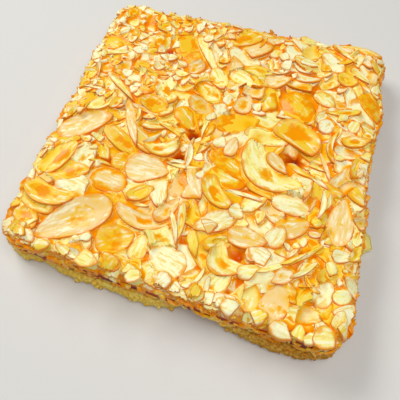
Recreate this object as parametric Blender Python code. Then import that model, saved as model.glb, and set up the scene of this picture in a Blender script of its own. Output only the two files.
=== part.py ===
"""A hand-cut slab of almond brittle on a shortbread base.

Two solids: the crumbly base, and the caramel layer on it with its sliced almonds fused on.
Sizes are in millimetres until a mesh is made, which is in metres. +Z is up, +Y points to the
far side, and the origin lies under the middle of the slab, on the face that it rests on.
"""

import math
import random
from dataclasses import dataclass

import bmesh
import bpy
import numpy as np
from mathutils import Vector, geometry, noise

MM = 0.001

# The slab's plan, before its edge is made uneven. The near side was cut a little askew.
LEFT_X = -52.3
RIGHT_X = 51.7
FAR_Y = 56.0
NEAR_Y = -53.2
NEAR_SKEW = 3.4
CORNER_RADII = (8.0, 9.0, 4.0, 5.0)  # near left, near right, far right, far left
RIM_POINTS = 112

# Heights of the layers. The gap keeps the two solids apart.
BASE_TOP = 4.8
LAYER_GAP = 0.3
LAYER_BOTTOM = BASE_TOP + LAYER_GAP
LAYER_TOP = 11.6

# Where the edge bulges (+) or is notched (-): x, y, how far, and over what length.
LAYER_DENTS = (
    (41.0, FAR_Y, 0.9, 6.0),
    (29.5, FAR_Y, -2.0, 2.4),
    (-22.0, FAR_Y, 0.8, 3.0),
    (RIGHT_X, 25.0, 1.0, 7.0),
    (RIGHT_X, 39.0, -1.2, 3.0),
    (RIGHT_X, 0.0, -1.0, 6.0),
    (LEFT_X, -10.0, -0.9, 3.0),
    (LEFT_X, 12.0, -0.6, 6.0),
)
BASE_DENTS = (
    (10.0, NEAR_Y, -4.2, 5.5),
    (-4.0, NEAR_Y, 0.7, 7.0),
    (33.0, NEAR_Y - 2.0, 0.8, 7.0),
    (-40.0, NEAR_Y + 2.0, -1.0, 5.0),
    (RIGHT_X, 30.0, -1.0, 8.0),
)

# Rings up each solid's side: how far in from the edge, and the height.
BASE_RINGS = ((0.9, 0.0), (0.2, 0.6), (0.0, 2.0), (0.1, 3.6), (0.7, BASE_TOP))
LAYER_SIDE = ((0.9, LAYER_BOTTOM), (0.2, 6.2))
LAYER_SHOULDER = ((0.0, 7.8), (0.5, 9.8), (1.9, 11.0), (4.5, LAYER_TOP))
CRUMBLE = 0.55
EDGE_WAVE = 0.5

# The caramel fills the space between the almonds up to this far below their upper faces.
CORE_DEPTH = 1.4
CORE_STEP = 6.5
CORE_SMOOTHING = 4.0

# Sliced almonds. Those that show most are fused to the caramel.
MOST_FUSED = 100
FLAKE_THICKNESS = 1.0
FLAKE_SIDES = 8
FLAKE_SINK = 0.4
FLAKE_ROOT = 0.8  # the caramel under an almond
OVERHANG = 0.6
MOST_SLOPE = 0.32
SETTLING = 0.85
LOOSE_TILT = 0.09
LAID_TILT = 0.04
CELL = 0.5
FIELD = 62.0
SEED = 41

BED_COLUMNS = 13
BED_ROWS = 14
BED_LENGTH = (8.5, 16.0)
BED_TRIES = 5
BED_ASPECT = (0.48, 0.62)
CHOPPED_X = -8.0
CHOPPED_Y = 16.0
CHOPPED_SHARE = 0.6
CHOPPED_WEIGHT = 2.4

SIDE_FLAKES = 20
SIDE_LEVELS = (6.6, 9.2, 7.9)
SIDE_SLOPE = 0.12
SIDE_LENGTH = (9.0, 15.0)

# Gaps between the almonds, where the caramel below shows: x, y, radius.
PITS = ((27.5, -0.5, 2.6), (-6.0, 0.5, 2.2), (-8.0, -8.8, 2.0), (-29.0, -15.2, 2.0), (-25.0, 35.5, 1.6))

# The almonds that catch the eye, laid by hand, the lowest first: x, y, yaw, length, width.
LAID = (
    (-43.5, -36.5, -20, 13, 6),
    (-42, -32.5, -8, 17, 8),
    (-39.5, -23.5, 12, 14, 8),
    (-44.5, -19.5, 60, 15, 8),
    (-42, -5, 35, 19, 9),
    (-27.5, -8.5, -30, 16, 6),
    (-24, -15.5, 0, 9, 6),
    (-26.5, -23, -10, 13, 9.5),
    (-16, -16.5, 5, 14, 10),
    (-14, -7.5, 30, 12, 6),
    (-11, -33, -3, 18, 6),
    (-15, -25.5, 40, 8.5, 5),
    (-5.5, -29, 60, 10, 5),
    (-5, -19.5, 85, 10, 5),
    (-30.2, -38.5, 221, 23, 12),
    (-17, -41.5, 30, 11, 9.5),
    (-9.5, -42.5, 85, 9, 5.5),
    (-0.5, -44, 160, 12, 9),
    (-27, 0, -63, 21, 3.5),
    (8.5, -8.5, -28, 17, 6.5),
    (20, -6.5, -35, 22, 12),
    (7, -19.5, -50, 13, 6.5),
    (29, -17.5, -8, 12.5, 7),
    (31, -24.5, 25, 10, 7),
    (44, -19.5, 88, 15.5, 8),
    (27, -29, 70, 8, 6),
    (15, -39.5, 20, 11.5, 9),
    (19, -31.5, -5, 11.5, 7),
    (24.5, -48.5, 90, 8, 6),
    (30.5, -48, 80, 9.5, 8),
    (39.5, -49.5, 92, 9, 6.5),
    (42.5, -42, 70, 8.5, 5.5),
    (46, -7, 30, 10, 5),
    (-17, 37.5, -50, 17, 11),
    (-10.5, 36, -56, 23, 3.5),
    (-46, 34, -20, 9.5, 7.5),
    (-22, 9, -10, 10, 7),
    (-13, 15, -12, 12, 4),
    (-9.5, 6, -40, 12, 7),
    (-6.5, 12.5, -20, 10, 6.5),
    (-5, 19, -20, 11, 7),
    (-4, 26.5, -50, 9.5, 6),
    (-36, 13.5, -37, 17, 2.5),
    (25, 46.5, 85, 10, 6.5),
    (5, 28, -15, 13, 6),
    (16, 30, 30, 10, 6.5),
    (25, 20, -50, 15, 10.5),
    (33, 25.5, -40, 9, 5.5),
    (6.5, 8.5, 20, 15, 8.5),
    (7, 16.5, 75, 8.5, 6.5),
    (17, 5, -5, 14.5, 6.5),
    (27, 8, -32, 16.5, 9.5),
    (46, 23.5, -50, 13, 5.5),
    (48.5, 27.5, -60, 12.5, 7),
    (43, 5.5, 0, 9, 4.5),
    (41.5, 54, -12, 17, 5),
    (9, 53.5, -2, 22, 4.5),
)

# A chip of shortbread that stands out at the right.
CHIP_CENTRE = (50.6, -20.5, 1.6)
CHIP_SIZE = (6.0, 6.0, 2.4)


@dataclass
class Flake:
    """A sliced almond: where it lies, in what plane, and how long and wide it is."""

    x: float
    y: float
    yaw: float
    length: float
    width: float
    z: float = 0.0
    slope_x: float = 0.0
    slope_y: float = 0.0

    def plan(self, along, across):
        """The point of the plan at these distances along and across the almond."""
        cos, sin = math.cos(self.yaw), math.sin(self.yaw)
        return self.x + along * cos - across * sin, self.y + along * sin + across * cos

    def height(self, x, y):
        """The height of the almond's underside at a point of the plan."""
        return self.z + self.slope_x * (x - self.x) + self.slope_y * (y - self.y)


def clear_scene():
    for obj in list(bpy.data.objects):
        bpy.data.objects.remove(obj)


def rounded_plan():
    """Closely spaced points round the plan, anticlockwise from the near left corner."""
    corners = (
        Vector((LEFT_X, NEAR_Y + NEAR_SKEW)),
        Vector((RIGHT_X, NEAR_Y - NEAR_SKEW)),
        Vector((RIGHT_X, FAR_Y)),
        Vector((LEFT_X, FAR_Y)),
    )
    arc_steps = 12
    points = []
    for i, corner in enumerate(corners):
        before = (corners[i - 1] - corner).normalized()
        after = (corners[(i + 1) % 4] - corner).normalized()
        radius = CORNER_RADII[i]
        half = before.angle(after) / 2
        centre = corner + (before + after).normalized() * radius / math.sin(half)
        start = corner + before * radius / math.tan(half) - centre
        turn = math.pi - 2 * half
        for step in range(arc_steps + 1):
            angle = turn * step / arc_steps
            cos, sin = math.cos(angle), math.sin(angle)
            arm = Vector((start.x * cos - start.y * sin, start.x * sin + start.y * cos))
            points.append(centre + arm)
    return np.array(points)


def even_points(loop, count):
    """A closed loop of this many points, equally far apart."""
    closed = np.vstack([loop, loop[:1]])
    steps = np.linalg.norm(np.diff(closed, axis=0), axis=1)
    along = np.concatenate([[0.0], np.cumsum(steps)])
    wanted = np.linspace(0.0, along[-1], count, endpoint=False)
    return np.stack([np.interp(wanted, along, closed[:, k]) for k in (0, 1)], axis=1)


def outward(loop):
    """The outward normal at each point of an anticlockwise loop."""
    tangent = np.roll(loop, -1, axis=0) - np.roll(loop, 1, axis=0)
    tangent /= np.linalg.norm(tangent, axis=1)[:, None]
    return np.stack([tangent[:, 1], -tangent[:, 0]], axis=1)


def uneven_loop(dents, phase):
    """The slab's edge as cut by hand: waves, then the named bulges and notches."""
    loop = even_points(rounded_plan(), RIM_POINTS)
    push = np.array([EDGE_WAVE * noise.noise(Vector((x / 9, y / 9, phase))) for x, y in loop])
    for x, y, depth, spread in dents:
        away = np.hypot(loop[:, 0] - x, loop[:, 1] - y)
        push += depth * np.exp(-((away / spread) ** 2))
    return loop + outward(loop) * push[:, None]


def signed_distance(loop, points):
    """How far each point lies outside the loop, or less than nothing inside it."""
    a, b = loop, np.roll(loop, -1, axis=0)
    edge = b - a
    to_point = points[:, None, :] - a[None]
    share = np.clip((to_point * edge).sum(2) / (edge * edge).sum(1), 0, 1)
    nearest = np.linalg.norm(to_point - share[..., None] * edge, axis=2).min(1)
    crosses = (a[:, 1] > points[:, None, 1]) != (b[:, 1] > points[:, None, 1])
    rise = np.where(edge[:, 1] == 0, 1e-9, edge[:, 1])
    at_x = a[:, 0] + (points[:, None, 1] - a[:, 1]) / rise * edge[:, 0]
    inside = (crosses & (points[:, None, 0] < at_x)).sum(1) % 2 == 1
    return np.where(inside, -nearest, nearest)


def mesh_object(name, bm, material):
    mesh = bpy.data.meshes.new(name)
    bm.to_mesh(mesh)
    bm.free()
    mesh.materials.append(material)
    obj = bpy.data.objects.new(name, mesh)
    bpy.context.scene.collection.objects.link(obj)
    return obj


def stacked_solid(rings):
    """A closed bmesh of rings of points, one above the other."""
    bm = bmesh.new()
    loops = [[bm.verts.new(Vector(p) * MM) for p in ring] for ring in rings]
    for lower, upper in zip(loops, loops[1:]):
        for i in range(len(lower)):
            j = (i + 1) % len(lower)
            bm.faces.new((lower[i], lower[j], upper[j], upper[i]))
    bm.faces.new(list(reversed(loops[0])))
    bm.faces.new(loops[-1])
    bmesh.ops.triangulate(bm, faces=bm.faces)
    return bm


def shortbread_base(material):
    """The base: a thin slab with crumbly sides, broken away at one place on the near side."""
    rng = random.Random(SEED + 1)
    loop = uneven_loop(BASE_DENTS, 7.3)
    normals = outward(loop)
    rings = []
    for inset, z in BASE_RINGS:
        flat = z in (0.0, BASE_TOP)
        ring = []
        for point, normal in zip(loop, normals):
            x, y = point + normal * (rng.uniform(-CRUMBLE, CRUMBLE) - inset)
            lift = 0.0 if flat else rng.uniform(-0.25, 0.25)
            ring.append((x, y, z + lift))
        rings.append(ring)
    return mesh_object("shortbread_base", stacked_solid(rings), material)


def chip(material):
    """A broken chip of shortbread, part of it in the base."""
    rng = random.Random(SEED + 2)
    bm = bmesh.new()
    bmesh.ops.create_icosphere(bm, subdivisions=1, radius=0.5)
    for vert in bm.verts:
        for k in range(3):
            vert.co[k] *= CHIP_SIZE[k] * rng.uniform(0.75, 1.1)
        vert.co = (vert.co + Vector(CHIP_CENTRE)) * MM
    return mesh_object("chip", bm, material)


def caramel_core(loop, bed, material):
    """The caramel layer without its almonds: an uneven side, a rounded shoulder, a bumpy top."""
    normals = outward(loop)
    rings = []
    for inset, z in LAYER_SIDE + LAYER_SHOULDER:
        bumps = np.array([0.4 * noise.noise(Vector((x / 4, y / 4, z / 2))) for x, y in loop])
        rings.append([(x, y, z) for x, y in loop + normals * (bumps - inset)[:, None]])
    bm = stacked_solid(rings)
    bmesh.ops.delete(bm, geom=[face for face in bm.faces if on_top(face)], context="FACES_ONLY")
    cover_top(bm, np.array(rings[-1])[:, :2], bed)
    return mesh_object("almond_caramel_layer", bm, material)


def on_top(face):
    return all(vert.co.z > (LAYER_TOP - 0.01) * MM for vert in face.verts)


def cover_top(bm, rim, bed):
    """Fills the upper ring with a triangulated surface that follows the almonds."""
    ticks = np.arange(-FIELD, FIELD, CORE_STEP)
    inner = np.array([(x, y + CORE_STEP / 2 * (i % 2)) for i, x in enumerate(ticks) for y in ticks])
    inner = inner[signed_distance(rim, inner) < -CORE_STEP / 3]
    points = [Vector(p) for p in np.vstack([rim, inner])]
    ring = list(range(len(rim)))
    flat, _, faces, *_ = geometry.delaunay_2d_cdt(points, [], [ring], 1, 1e-6)
    rim_verts = [vert for vert in bm.verts if vert.is_boundary]
    verts = []
    for n, point in enumerate(flat):
        if n < len(rim):
            verts.append(min(rim_verts, key=lambda v: (v.co.to_2d() - point * MM).length))
        else:
            verts.append(bm.verts.new(Vector((point.x, point.y, bed.filled_to(point))) * MM))
    for face in faces:
        bm.faces.new([verts[k] for k in face])


class Bed:
    """The top of the slab as a square grid of heights, on which almonds are laid one by one."""

    def __init__(self, loop):
        ticks = np.arange(-FIELD, FIELD, CELL)
        x, y = np.meshgrid(ticks, ticks, indexing="ij")
        outside = signed_distance(loop, np.stack([x.ravel(), y.ravel()], axis=1)).reshape(x.shape)
        insets, heights = zip(*reversed(LAYER_SHOULDER))
        self.x, self.y = x, y
        self.top = np.interp(outside, [-inset for inset in insets], heights) - 1.2 * np.clip(outside, 0, 3)
        self.owner = np.full(x.shape, -1)
        self.flakes = []

    def cells_under(self, flake):
        """The part of the grid round an almond, and which of its cells the almond covers."""
        reach = int(flake.length / 2 / CELL) + 1
        i, j = self.cell_at((flake.x, flake.y))
        window = slice(max(i - reach, 0), i + reach), slice(max(j - reach, 0), j + reach)
        x, y = self.x[window] - flake.x, self.y[window] - flake.y
        cos, sin = math.cos(flake.yaw), math.sin(flake.yaw)
        along, across = x * cos + y * sin, y * cos - x * sin
        return window, (2 * along / flake.length) ** 2 + (2 * across / flake.width) ** 2 <= 1

    def lay(self, flake, tilt):
        """Lets an almond down on what lies below it, and adds it to the bed."""
        window, covered = self.cells_under(flake)
        x, y, below = (grid[window][covered] for grid in (self.x, self.y, self.top))
        terms = np.stack([np.ones(len(x)), x - flake.x, y - flake.y], axis=1)
        _, slope_x, slope_y = np.linalg.lstsq(terms, below, rcond=None)[0]
        flake.slope_x = float(np.clip(SETTLING * slope_x + tilt[0], -MOST_SLOPE, MOST_SLOPE))
        flake.slope_y = float(np.clip(SETTLING * slope_y + tilt[1], -MOST_SLOPE, MOST_SLOPE))
        flake.z = float(np.quantile(below - flake.height(x, y), 0.75)) - FLAKE_SINK
        upper = flake.height(x, y) + FLAKE_THICKNESS
        highest = upper > below
        self.top[window][covered] = np.maximum(below, upper)
        owners = self.owner[window][covered]
        owners[highest] = len(self.flakes)
        self.owner[window][covered] = owners
        self.flakes.append(flake)

    def most_shown(self, count):
        """The almonds of which most can be seen from above."""
        shown = np.bincount(self.owner[self.owner >= 0], minlength=len(self.flakes))
        weight = np.array([CHOPPED_WEIGHT if chopped(flake.x, flake.y) else 1 for flake in self.flakes])
        return [self.flakes[n] for n in sorted(np.argsort(-shown * weight)[:count])]

    def cell_at(self, point):
        return [int(round((c + FIELD) / CELL)) for c in point]

    def height_at(self, point):
        return self.top[tuple(self.cell_at(point))]

    def filled_to(self, point):
        """How high the caramel stands between the almonds at a point of the plan."""
        reach = int(CORE_SMOOTHING / 2 / CELL)
        i, j = self.cell_at(point)
        return float(self.top[i - reach : i + reach + 1, j - reach : j + reach + 1].mean()) - CORE_DEPTH


def chopped(x, y):
    """Whether a place lies where the almonds are mostly broken small."""
    return x < CHOPPED_X and y > CHOPPED_Y


def lay_bed(bed, loop, rng):
    """Lays almonds evenly over the caramel, one to each cell of a loose grid, none in a pit."""
    cell_x = (RIGHT_X - LEFT_X) / BED_COLUMNS
    cell_y = (FAR_Y - NEAR_Y) / BED_ROWS
    places = [(column, row) for column in range(BED_COLUMNS) for row in range(BED_ROWS)]
    rng.shuffle(places)
    for column, row in places:
        tries = [(column + rng.random(), row + rng.random()) for _ in range(BED_TRIES)]
        spots = [(LEFT_X + cell[0] * cell_x, NEAR_Y + cell[1] * cell_y) for cell in tries]
        x, y = min(spots, key=bed.height_at)
        yaw = rng.uniform(0, 2 * math.pi)
        length = rng.uniform(*BED_LENGTH)
        width = length * rng.uniform(*BED_ASPECT)
        tilt = rng.gauss(0, LOOSE_TILT), rng.gauss(0, LOOSE_TILT)
        if chopped(x, y):
            length, width = CHOPPED_SHARE * length, CHOPPED_SHARE * width
        in_pit = any(math.hypot(x - px, y - py) < radius + width / 2 for px, py, radius in PITS)
        if signed_distance(loop, np.array([[x, y]]))[0] < -2.0 and not in_pit:
            bed.lay(Flake(x, y, yaw, length, width), tilt)


def side_flakes(loop, rng):
    """Almonds that lie in the caramel and show at its cut sides, level by level."""
    normals = outward(loop)
    flakes = []
    for k in range(SIDE_FLAKES):
        at = int(RIM_POINTS * (k + rng.uniform(-0.3, 0.3)) / SIDE_FLAKES) % RIM_POINTS
        length = rng.uniform(*SIDE_LENGTH)
        width = length * rng.uniform(*BED_ASPECT)
        x, y = loop[at] - normals[at] * (width / 2 - 0.9)
        yaw = math.atan2(normals[at][0], -normals[at][1]) + rng.uniform(-0.4, 0.4)
        flake = Flake(x, y, yaw, length, width, SIDE_LEVELS[k % len(SIDE_LEVELS)])
        flake.slope_x = rng.uniform(-SIDE_SLOPE, SIDE_SLOPE)
        flake.slope_y = rng.uniform(-SIDE_SLOPE, SIDE_SLOPE)
        flakes.append(flake)
    return flakes


def almond_outline(flake, sides):
    """The almond's outline in the plan: round at one end, pointed at the other."""
    points = []
    for k in range(sides):
        angle = 2 * math.pi * k / sides
        taper = 1 - 0.3 * math.cos(angle)
        points.append(flake.plan(flake.length / 2 * math.cos(angle), flake.width / 2 * math.sin(angle) * taper))
    return np.array(points)


def cut_to_slab(points, centre, loop):
    """Points that lie too far out of the slab, brought back along the line to the almond's middle."""
    centre = np.array(centre)
    for _ in range(6):
        out = signed_distance(loop, points) > OVERHANG
        points[out] = centre + 0.8 * (points[out] - centre)
    return points


def almond_solid(name, flake, root, loop, material):
    """One sliced almond, with the caramel under it that holds it, as a closed shell of even thickness."""
    plan = cut_to_slab(almond_outline(flake, FLAKE_SIDES), (flake.x, flake.y), loop)
    under = [(x, y, flake.height(x, y) - root) for x, y in plan]
    over = [(x, y, flake.height(x, y) + FLAKE_THICKNESS) for x, y in plan]
    return mesh_object(name, stacked_solid([under, over]), material)


def fuse(target, pieces):
    """Joins the pieces to the target by one Boolean union, then keeps its outer skin alone."""
    group = bpy.data.collections.new("pieces")
    bpy.context.scene.collection.children.link(group)
    for piece in pieces:
        bpy.context.scene.collection.objects.unlink(piece)
        group.objects.link(piece)
    union = target.modifiers.new("fused", "BOOLEAN")
    union.operation = "UNION"
    union.operand_type = "COLLECTION"
    union.collection = group
    union.solver = "MANIFOLD"
    bpy.context.view_layer.update()
    graph = bpy.context.evaluated_depsgraph_get()
    mesh = bpy.data.meshes.new_from_object(target.evaluated_get(graph))
    target.modifiers.clear()
    target.data = mesh
    for piece in pieces:
        bpy.data.objects.remove(piece)
    bpy.data.collections.remove(group)
    keep_outer_skin(mesh)


def keep_outer_skin(mesh):
    """Drops every shell but the largest: a loose scrap, or the wall of a sealed hollow."""
    bm = bmesh.new()
    bm.from_mesh(mesh)
    left = set(bm.verts)
    shells = []
    while left:
        reached = [left.pop()]
        shell = []
        while reached:
            vert = reached.pop()
            shell.append(vert)
            for edge in vert.link_edges:
                other = edge.other_vert(vert)
                if other in left:
                    left.remove(other)
                    reached.append(other)
        shells.append(shell)
    shells.sort(key=len)
    bmesh.ops.delete(bm, geom=[vert for shell in shells[:-1] for vert in shell], context="VERTS")
    bmesh.ops.triangulate(bm, faces=bm.faces)
    bm.to_mesh(mesh)
    bm.free()


def food_material(name, colour, roughness):
    material = bpy.data.materials.new(name)
    material.use_nodes = True
    shader = material.node_tree.nodes["Principled BSDF"]
    shader.inputs["Base Color"].default_value = (*colour, 1.0)
    shader.inputs["Roughness"].default_value = roughness
    shader.inputs["Metallic"].default_value = 0.0
    return material


def build():
    clear_scene()
    shortbread = food_material("shortbread", (0.72, 0.50, 0.16), 0.85)
    caramel = food_material("caramel_and_almond", (0.85, 0.48, 0.10), 0.3)
    rng = random.Random(SEED)
    loop = uneven_loop(LAYER_DENTS, 1.7)

    base = shortbread_base(shortbread)
    fuse(base, [chip(shortbread)])

    bed = Bed(loop)
    lay_bed(bed, loop, rng)
    for x, y, yaw, length, width in LAID:
        tilt = rng.gauss(0, LAID_TILT), rng.gauss(0, LAID_TILT)
        bed.lay(Flake(x, y, math.radians(yaw), length, width), tilt)
    rooted = [(flake, FLAKE_ROOT) for flake in bed.most_shown(MOST_FUSED)]
    level = [(flake, 0.0) for flake in side_flakes(loop, rng)]
    almonds = [almond_solid(f"almond_{n}", *pair, loop, caramel) for n, pair in enumerate(rooted + level)]
    fuse(caramel_core(loop, bed, caramel), almonds)


build()
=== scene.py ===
"""The looks of a hand-cut slab of almond brittle on its shortbread base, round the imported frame.

Shapes are worked out in millimetres, in the frame's own axes, and become metres when a mesh is
made. The almonds are laid by the same rule and the same random draws as in the solids.
"""

import copy
import math
import random
from dataclasses import dataclass

import bmesh
import bpy
import numpy as np
from mathutils import Matrix, Vector, noise


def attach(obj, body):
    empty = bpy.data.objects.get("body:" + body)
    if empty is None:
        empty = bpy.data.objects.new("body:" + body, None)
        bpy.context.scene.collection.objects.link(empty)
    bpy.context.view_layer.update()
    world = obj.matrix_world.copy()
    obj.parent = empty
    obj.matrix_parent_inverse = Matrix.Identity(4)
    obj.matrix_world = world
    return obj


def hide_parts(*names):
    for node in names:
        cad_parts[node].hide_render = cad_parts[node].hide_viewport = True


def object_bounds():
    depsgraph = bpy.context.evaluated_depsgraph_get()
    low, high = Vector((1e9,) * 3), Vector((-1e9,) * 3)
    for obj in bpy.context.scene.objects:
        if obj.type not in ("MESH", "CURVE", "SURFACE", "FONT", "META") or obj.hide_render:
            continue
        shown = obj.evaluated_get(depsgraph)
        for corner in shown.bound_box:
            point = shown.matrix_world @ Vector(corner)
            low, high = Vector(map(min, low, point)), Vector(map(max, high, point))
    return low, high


MM = 0.001

# Two names that go with each piece; the second is the node that it stands for.
LAYER = ("almond_caramel", "almond_caramel_layer")
BASE = ("shortbread", "shortbread_base")

# The slab, as in the solids.
LEFT_X = -52.3
RIGHT_X = 51.7
FAR_Y = 56.0
NEAR_Y = -53.2
NEAR_SKEW = 3.4
CORNER_RADII = (8.0, 9.0, 4.0, 5.0)
RIM_POINTS = 112
BASE_TOP = 4.8
LAYER_BOTTOM = 5.1
LAYER_TOP = 11.6
# Where each edge bulges (+) or is notched (-): x, y, how far, and over what length.
LAYER_DENTS = (
    (41.0, FAR_Y, 0.9, 6.0),
    (29.5, FAR_Y, -2.0, 2.4),
    (-22.0, FAR_Y, 0.8, 3.0),
    (RIGHT_X, 25.0, 1.0, 7.0),
    (RIGHT_X, 39.0, -1.2, 3.0),
    (RIGHT_X, 0.0, -1.0, 6.0),
    (LEFT_X, -10.0, -0.9, 3.0),
    (LEFT_X, 12.0, -0.6, 6.0),
)
BASE_DENTS = (
    (10.0, NEAR_Y, -4.2, 5.5),
    (-4.0, NEAR_Y, 0.7, 7.0),
    (33.0, NEAR_Y - 2.0, 0.8, 7.0),
    (-40.0, NEAR_Y + 2.0, -1.0, 5.0),
    (RIGHT_X, 30.0, -1.0, 8.0),
)
# What crumbles outward along the near side, beyond the solid's own edge.
BASE_SPILL = ((-24.0, NEAR_Y, 1.0, 14.0), (32.0, NEAR_Y - 3.0, 1.0, 12.0))
# Rings up each layer's side: how far in from the edge, and the height.
BASE_RINGS = ((0.9, 0.0), (0.2, 0.6), (0.0, 2.0), (0.1, 3.6), (0.7, BASE_TOP))
LAYER_SHOULDER = ((0.0, 7.8), (0.5, 9.8), (1.9, 11.0), (4.5, LAYER_TOP))
EDGE_WAVE = 0.5
WAVE_LENGTH = 9
# Where each layer's waves are taken from the noise.
LAYER_PHASE = 1.7
BASE_PHASE = 7.3

# The almonds, as in the solids.
FLAKE_THICKNESS = 1.0
FLAKE_SINK = 0.4
MOST_SLOPE = 0.32
SETTLING = 0.85
RESTING_SHARE = 0.75
LOOSE_TILT = 0.09
LAID_TILT = 0.04
CELL = 0.5
FIELD = 62.0
# How steeply, and how far out, the bed falls away beyond the slab's edge.
BED_FALL = 1.2
BED_FALL_WIDTH = 3
# The loose almonds, which are laid on a jittered grid, and where they are mostly broken small.
SEED = 41
BED_COLUMNS = 13
BED_ROWS = 14
BED_LENGTH = (8.5, 16.0)
BED_TRIES = 5
BED_ASPECT = (0.48, 0.62)
CHOPPED_X = -8.0
CHOPPED_Y = 16.0
CHOPPED_SHARE = 0.6
CHOPPED_PULL = 0.35
CHOPPED_FADE = 5.0
LOOSE_INSET = 2.0
# Pits that no almond lies in: x, y and radius.
PITS = ((27.5, -0.5, 2.6), (-6.0, 0.5, 2.2), (-8.0, -8.8, 2.0), (-29.0, -15.2, 2.0), (-25.0, 35.5, 1.6))
# The almonds that show most, lowest first: x, y, yaw in degrees, length, width and tone.
LAID = (
    (-43.5, -36.5, -20, 13, 6, "cream"),
    (-42, -32.5, -8, 17, 8, "amber"),
    (-39.5, -23.5, 12, 14, 8, "yellow"),
    (-44.5, -19.5, 60, 15, 8, "yellow"),
    (-42, -5, 35, 19, 9, "pink"),
    (-27.5, -8.5, -30, 16, 6, "amber"),
    (-24, -15.5, 0, 9, 6, "amber"),
    (-26.5, -23, -10, 13, 9.5, "pink"),
    (-16, -16.5, 5, 14, 10, "pink"),
    (-14, -7.5, 30, 12, 6, "cream"),
    (-11, -33, -3, 18, 6, "pink"),
    (-15, -25.5, 40, 8.5, 5, "yellow"),
    (-5.5, -29, 60, 10, 5, "pink"),
    (-5, -19.5, 85, 10, 5, "pink"),
    (-30.2, -38.5, 221, 23, 12, "pink"),
    (-17, -41.5, 30, 11, 9.5, "amber"),
    (-9.5, -42.5, 85, 9, 5.5, "cream"),
    (-0.5, -44, 160, 12, 9, "white"),
    (-27, 0, -63, 21, 3.5, "pink"),
    (8.5, -8.5, -28, 17, 6.5, "amber"),
    (20, -6.5, -35, 22, 12, "cream"),
    (7, -19.5, -50, 13, 6.5, "yellow"),
    (29, -17.5, -8, 12.5, 7, "white"),
    (31, -24.5, 25, 10, 7, "pink"),
    (44, -19.5, 88, 15.5, 8, "pink"),
    (27, -29, 70, 8, 6, "white"),
    (15, -39.5, 20, 11.5, 9, "cream"),
    (19, -31.5, -5, 11.5, 7, "pink"),
    (24.5, -48.5, 90, 8, 6, "cream"),
    (30.5, -48, 80, 9.5, 8, "pink"),
    (39.5, -49.5, 92, 9, 6.5, "white"),
    (42.5, -42, 70, 8.5, 5.5, "white"),
    (46, -7, 30, 10, 5, "pink"),
    (-17, 37.5, -50, 17, 11, "amber"),
    (-10.5, 36, -56, 23, 3.5, "cream"),
    (-46, 34, -20, 9.5, 7.5, "yellow"),
    (-22, 9, -10, 10, 7, "amber"),
    (-13, 15, -12, 12, 4, "cream"),
    (-9.5, 6, -40, 12, 7, "amber"),
    (-6.5, 12.5, -20, 10, 6.5, "pink"),
    (-5, 19, -20, 11, 7, "cream"),
    (-4, 26.5, -50, 9.5, 6, "cream"),
    (-36, 13.5, -37, 17, 2.5, "cream"),
    (25, 46.5, 85, 10, 6.5, "cream"),
    (5, 28, -15, 13, 6, "cream"),
    (16, 30, 30, 10, 6.5, "pink"),
    (25, 20, -50, 15, 10.5, "amber"),
    (33, 25.5, -40, 9, 5.5, "cream"),
    (6.5, 8.5, 20, 15, 8.5, "amber"),
    (7, 16.5, 75, 8.5, 6.5, "pink"),
    (17, 5, -5, 14.5, 6.5, "cream"),
    (27, 8, -32, 16.5, 9.5, "amber"),
    (46, 23.5, -50, 13, 5.5, "white"),
    (48.5, 27.5, -60, 12.5, 7, "amber"),
    (43, 5.5, 0, 9, 4.5, "white"),
    (41.5, 54, -12, 17, 5, "amber"),
    (9, 53.5, -2, 22, 4.5, "amber"),
)

# Chosen slices that curl, by their place: how much further they are turned, how far the ends bend
# aside, how much of the hollow side is gone, and how deep they are cupped.
CURLS = {
    (20, -6.5): (-4, 4.5, 0.4, 0.5),
    (15, -39.5): (-60, 3.4, 0.45, 1.0),
    (-11, -33): (8, 3.4, 0.25, 0.9),
    (-14, -7.5): (-15, 2.2, 0.2, 0.8),
    (-42, -32.5): (-4, 2.4, 0.2, 0.9),
    (27, 8): (4, -2.0, 0.0, 1.1),
    (7, -19.5): (0, 1.6, 0.2, 0.9),
}
CURLED_TAPER = 0.03

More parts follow.
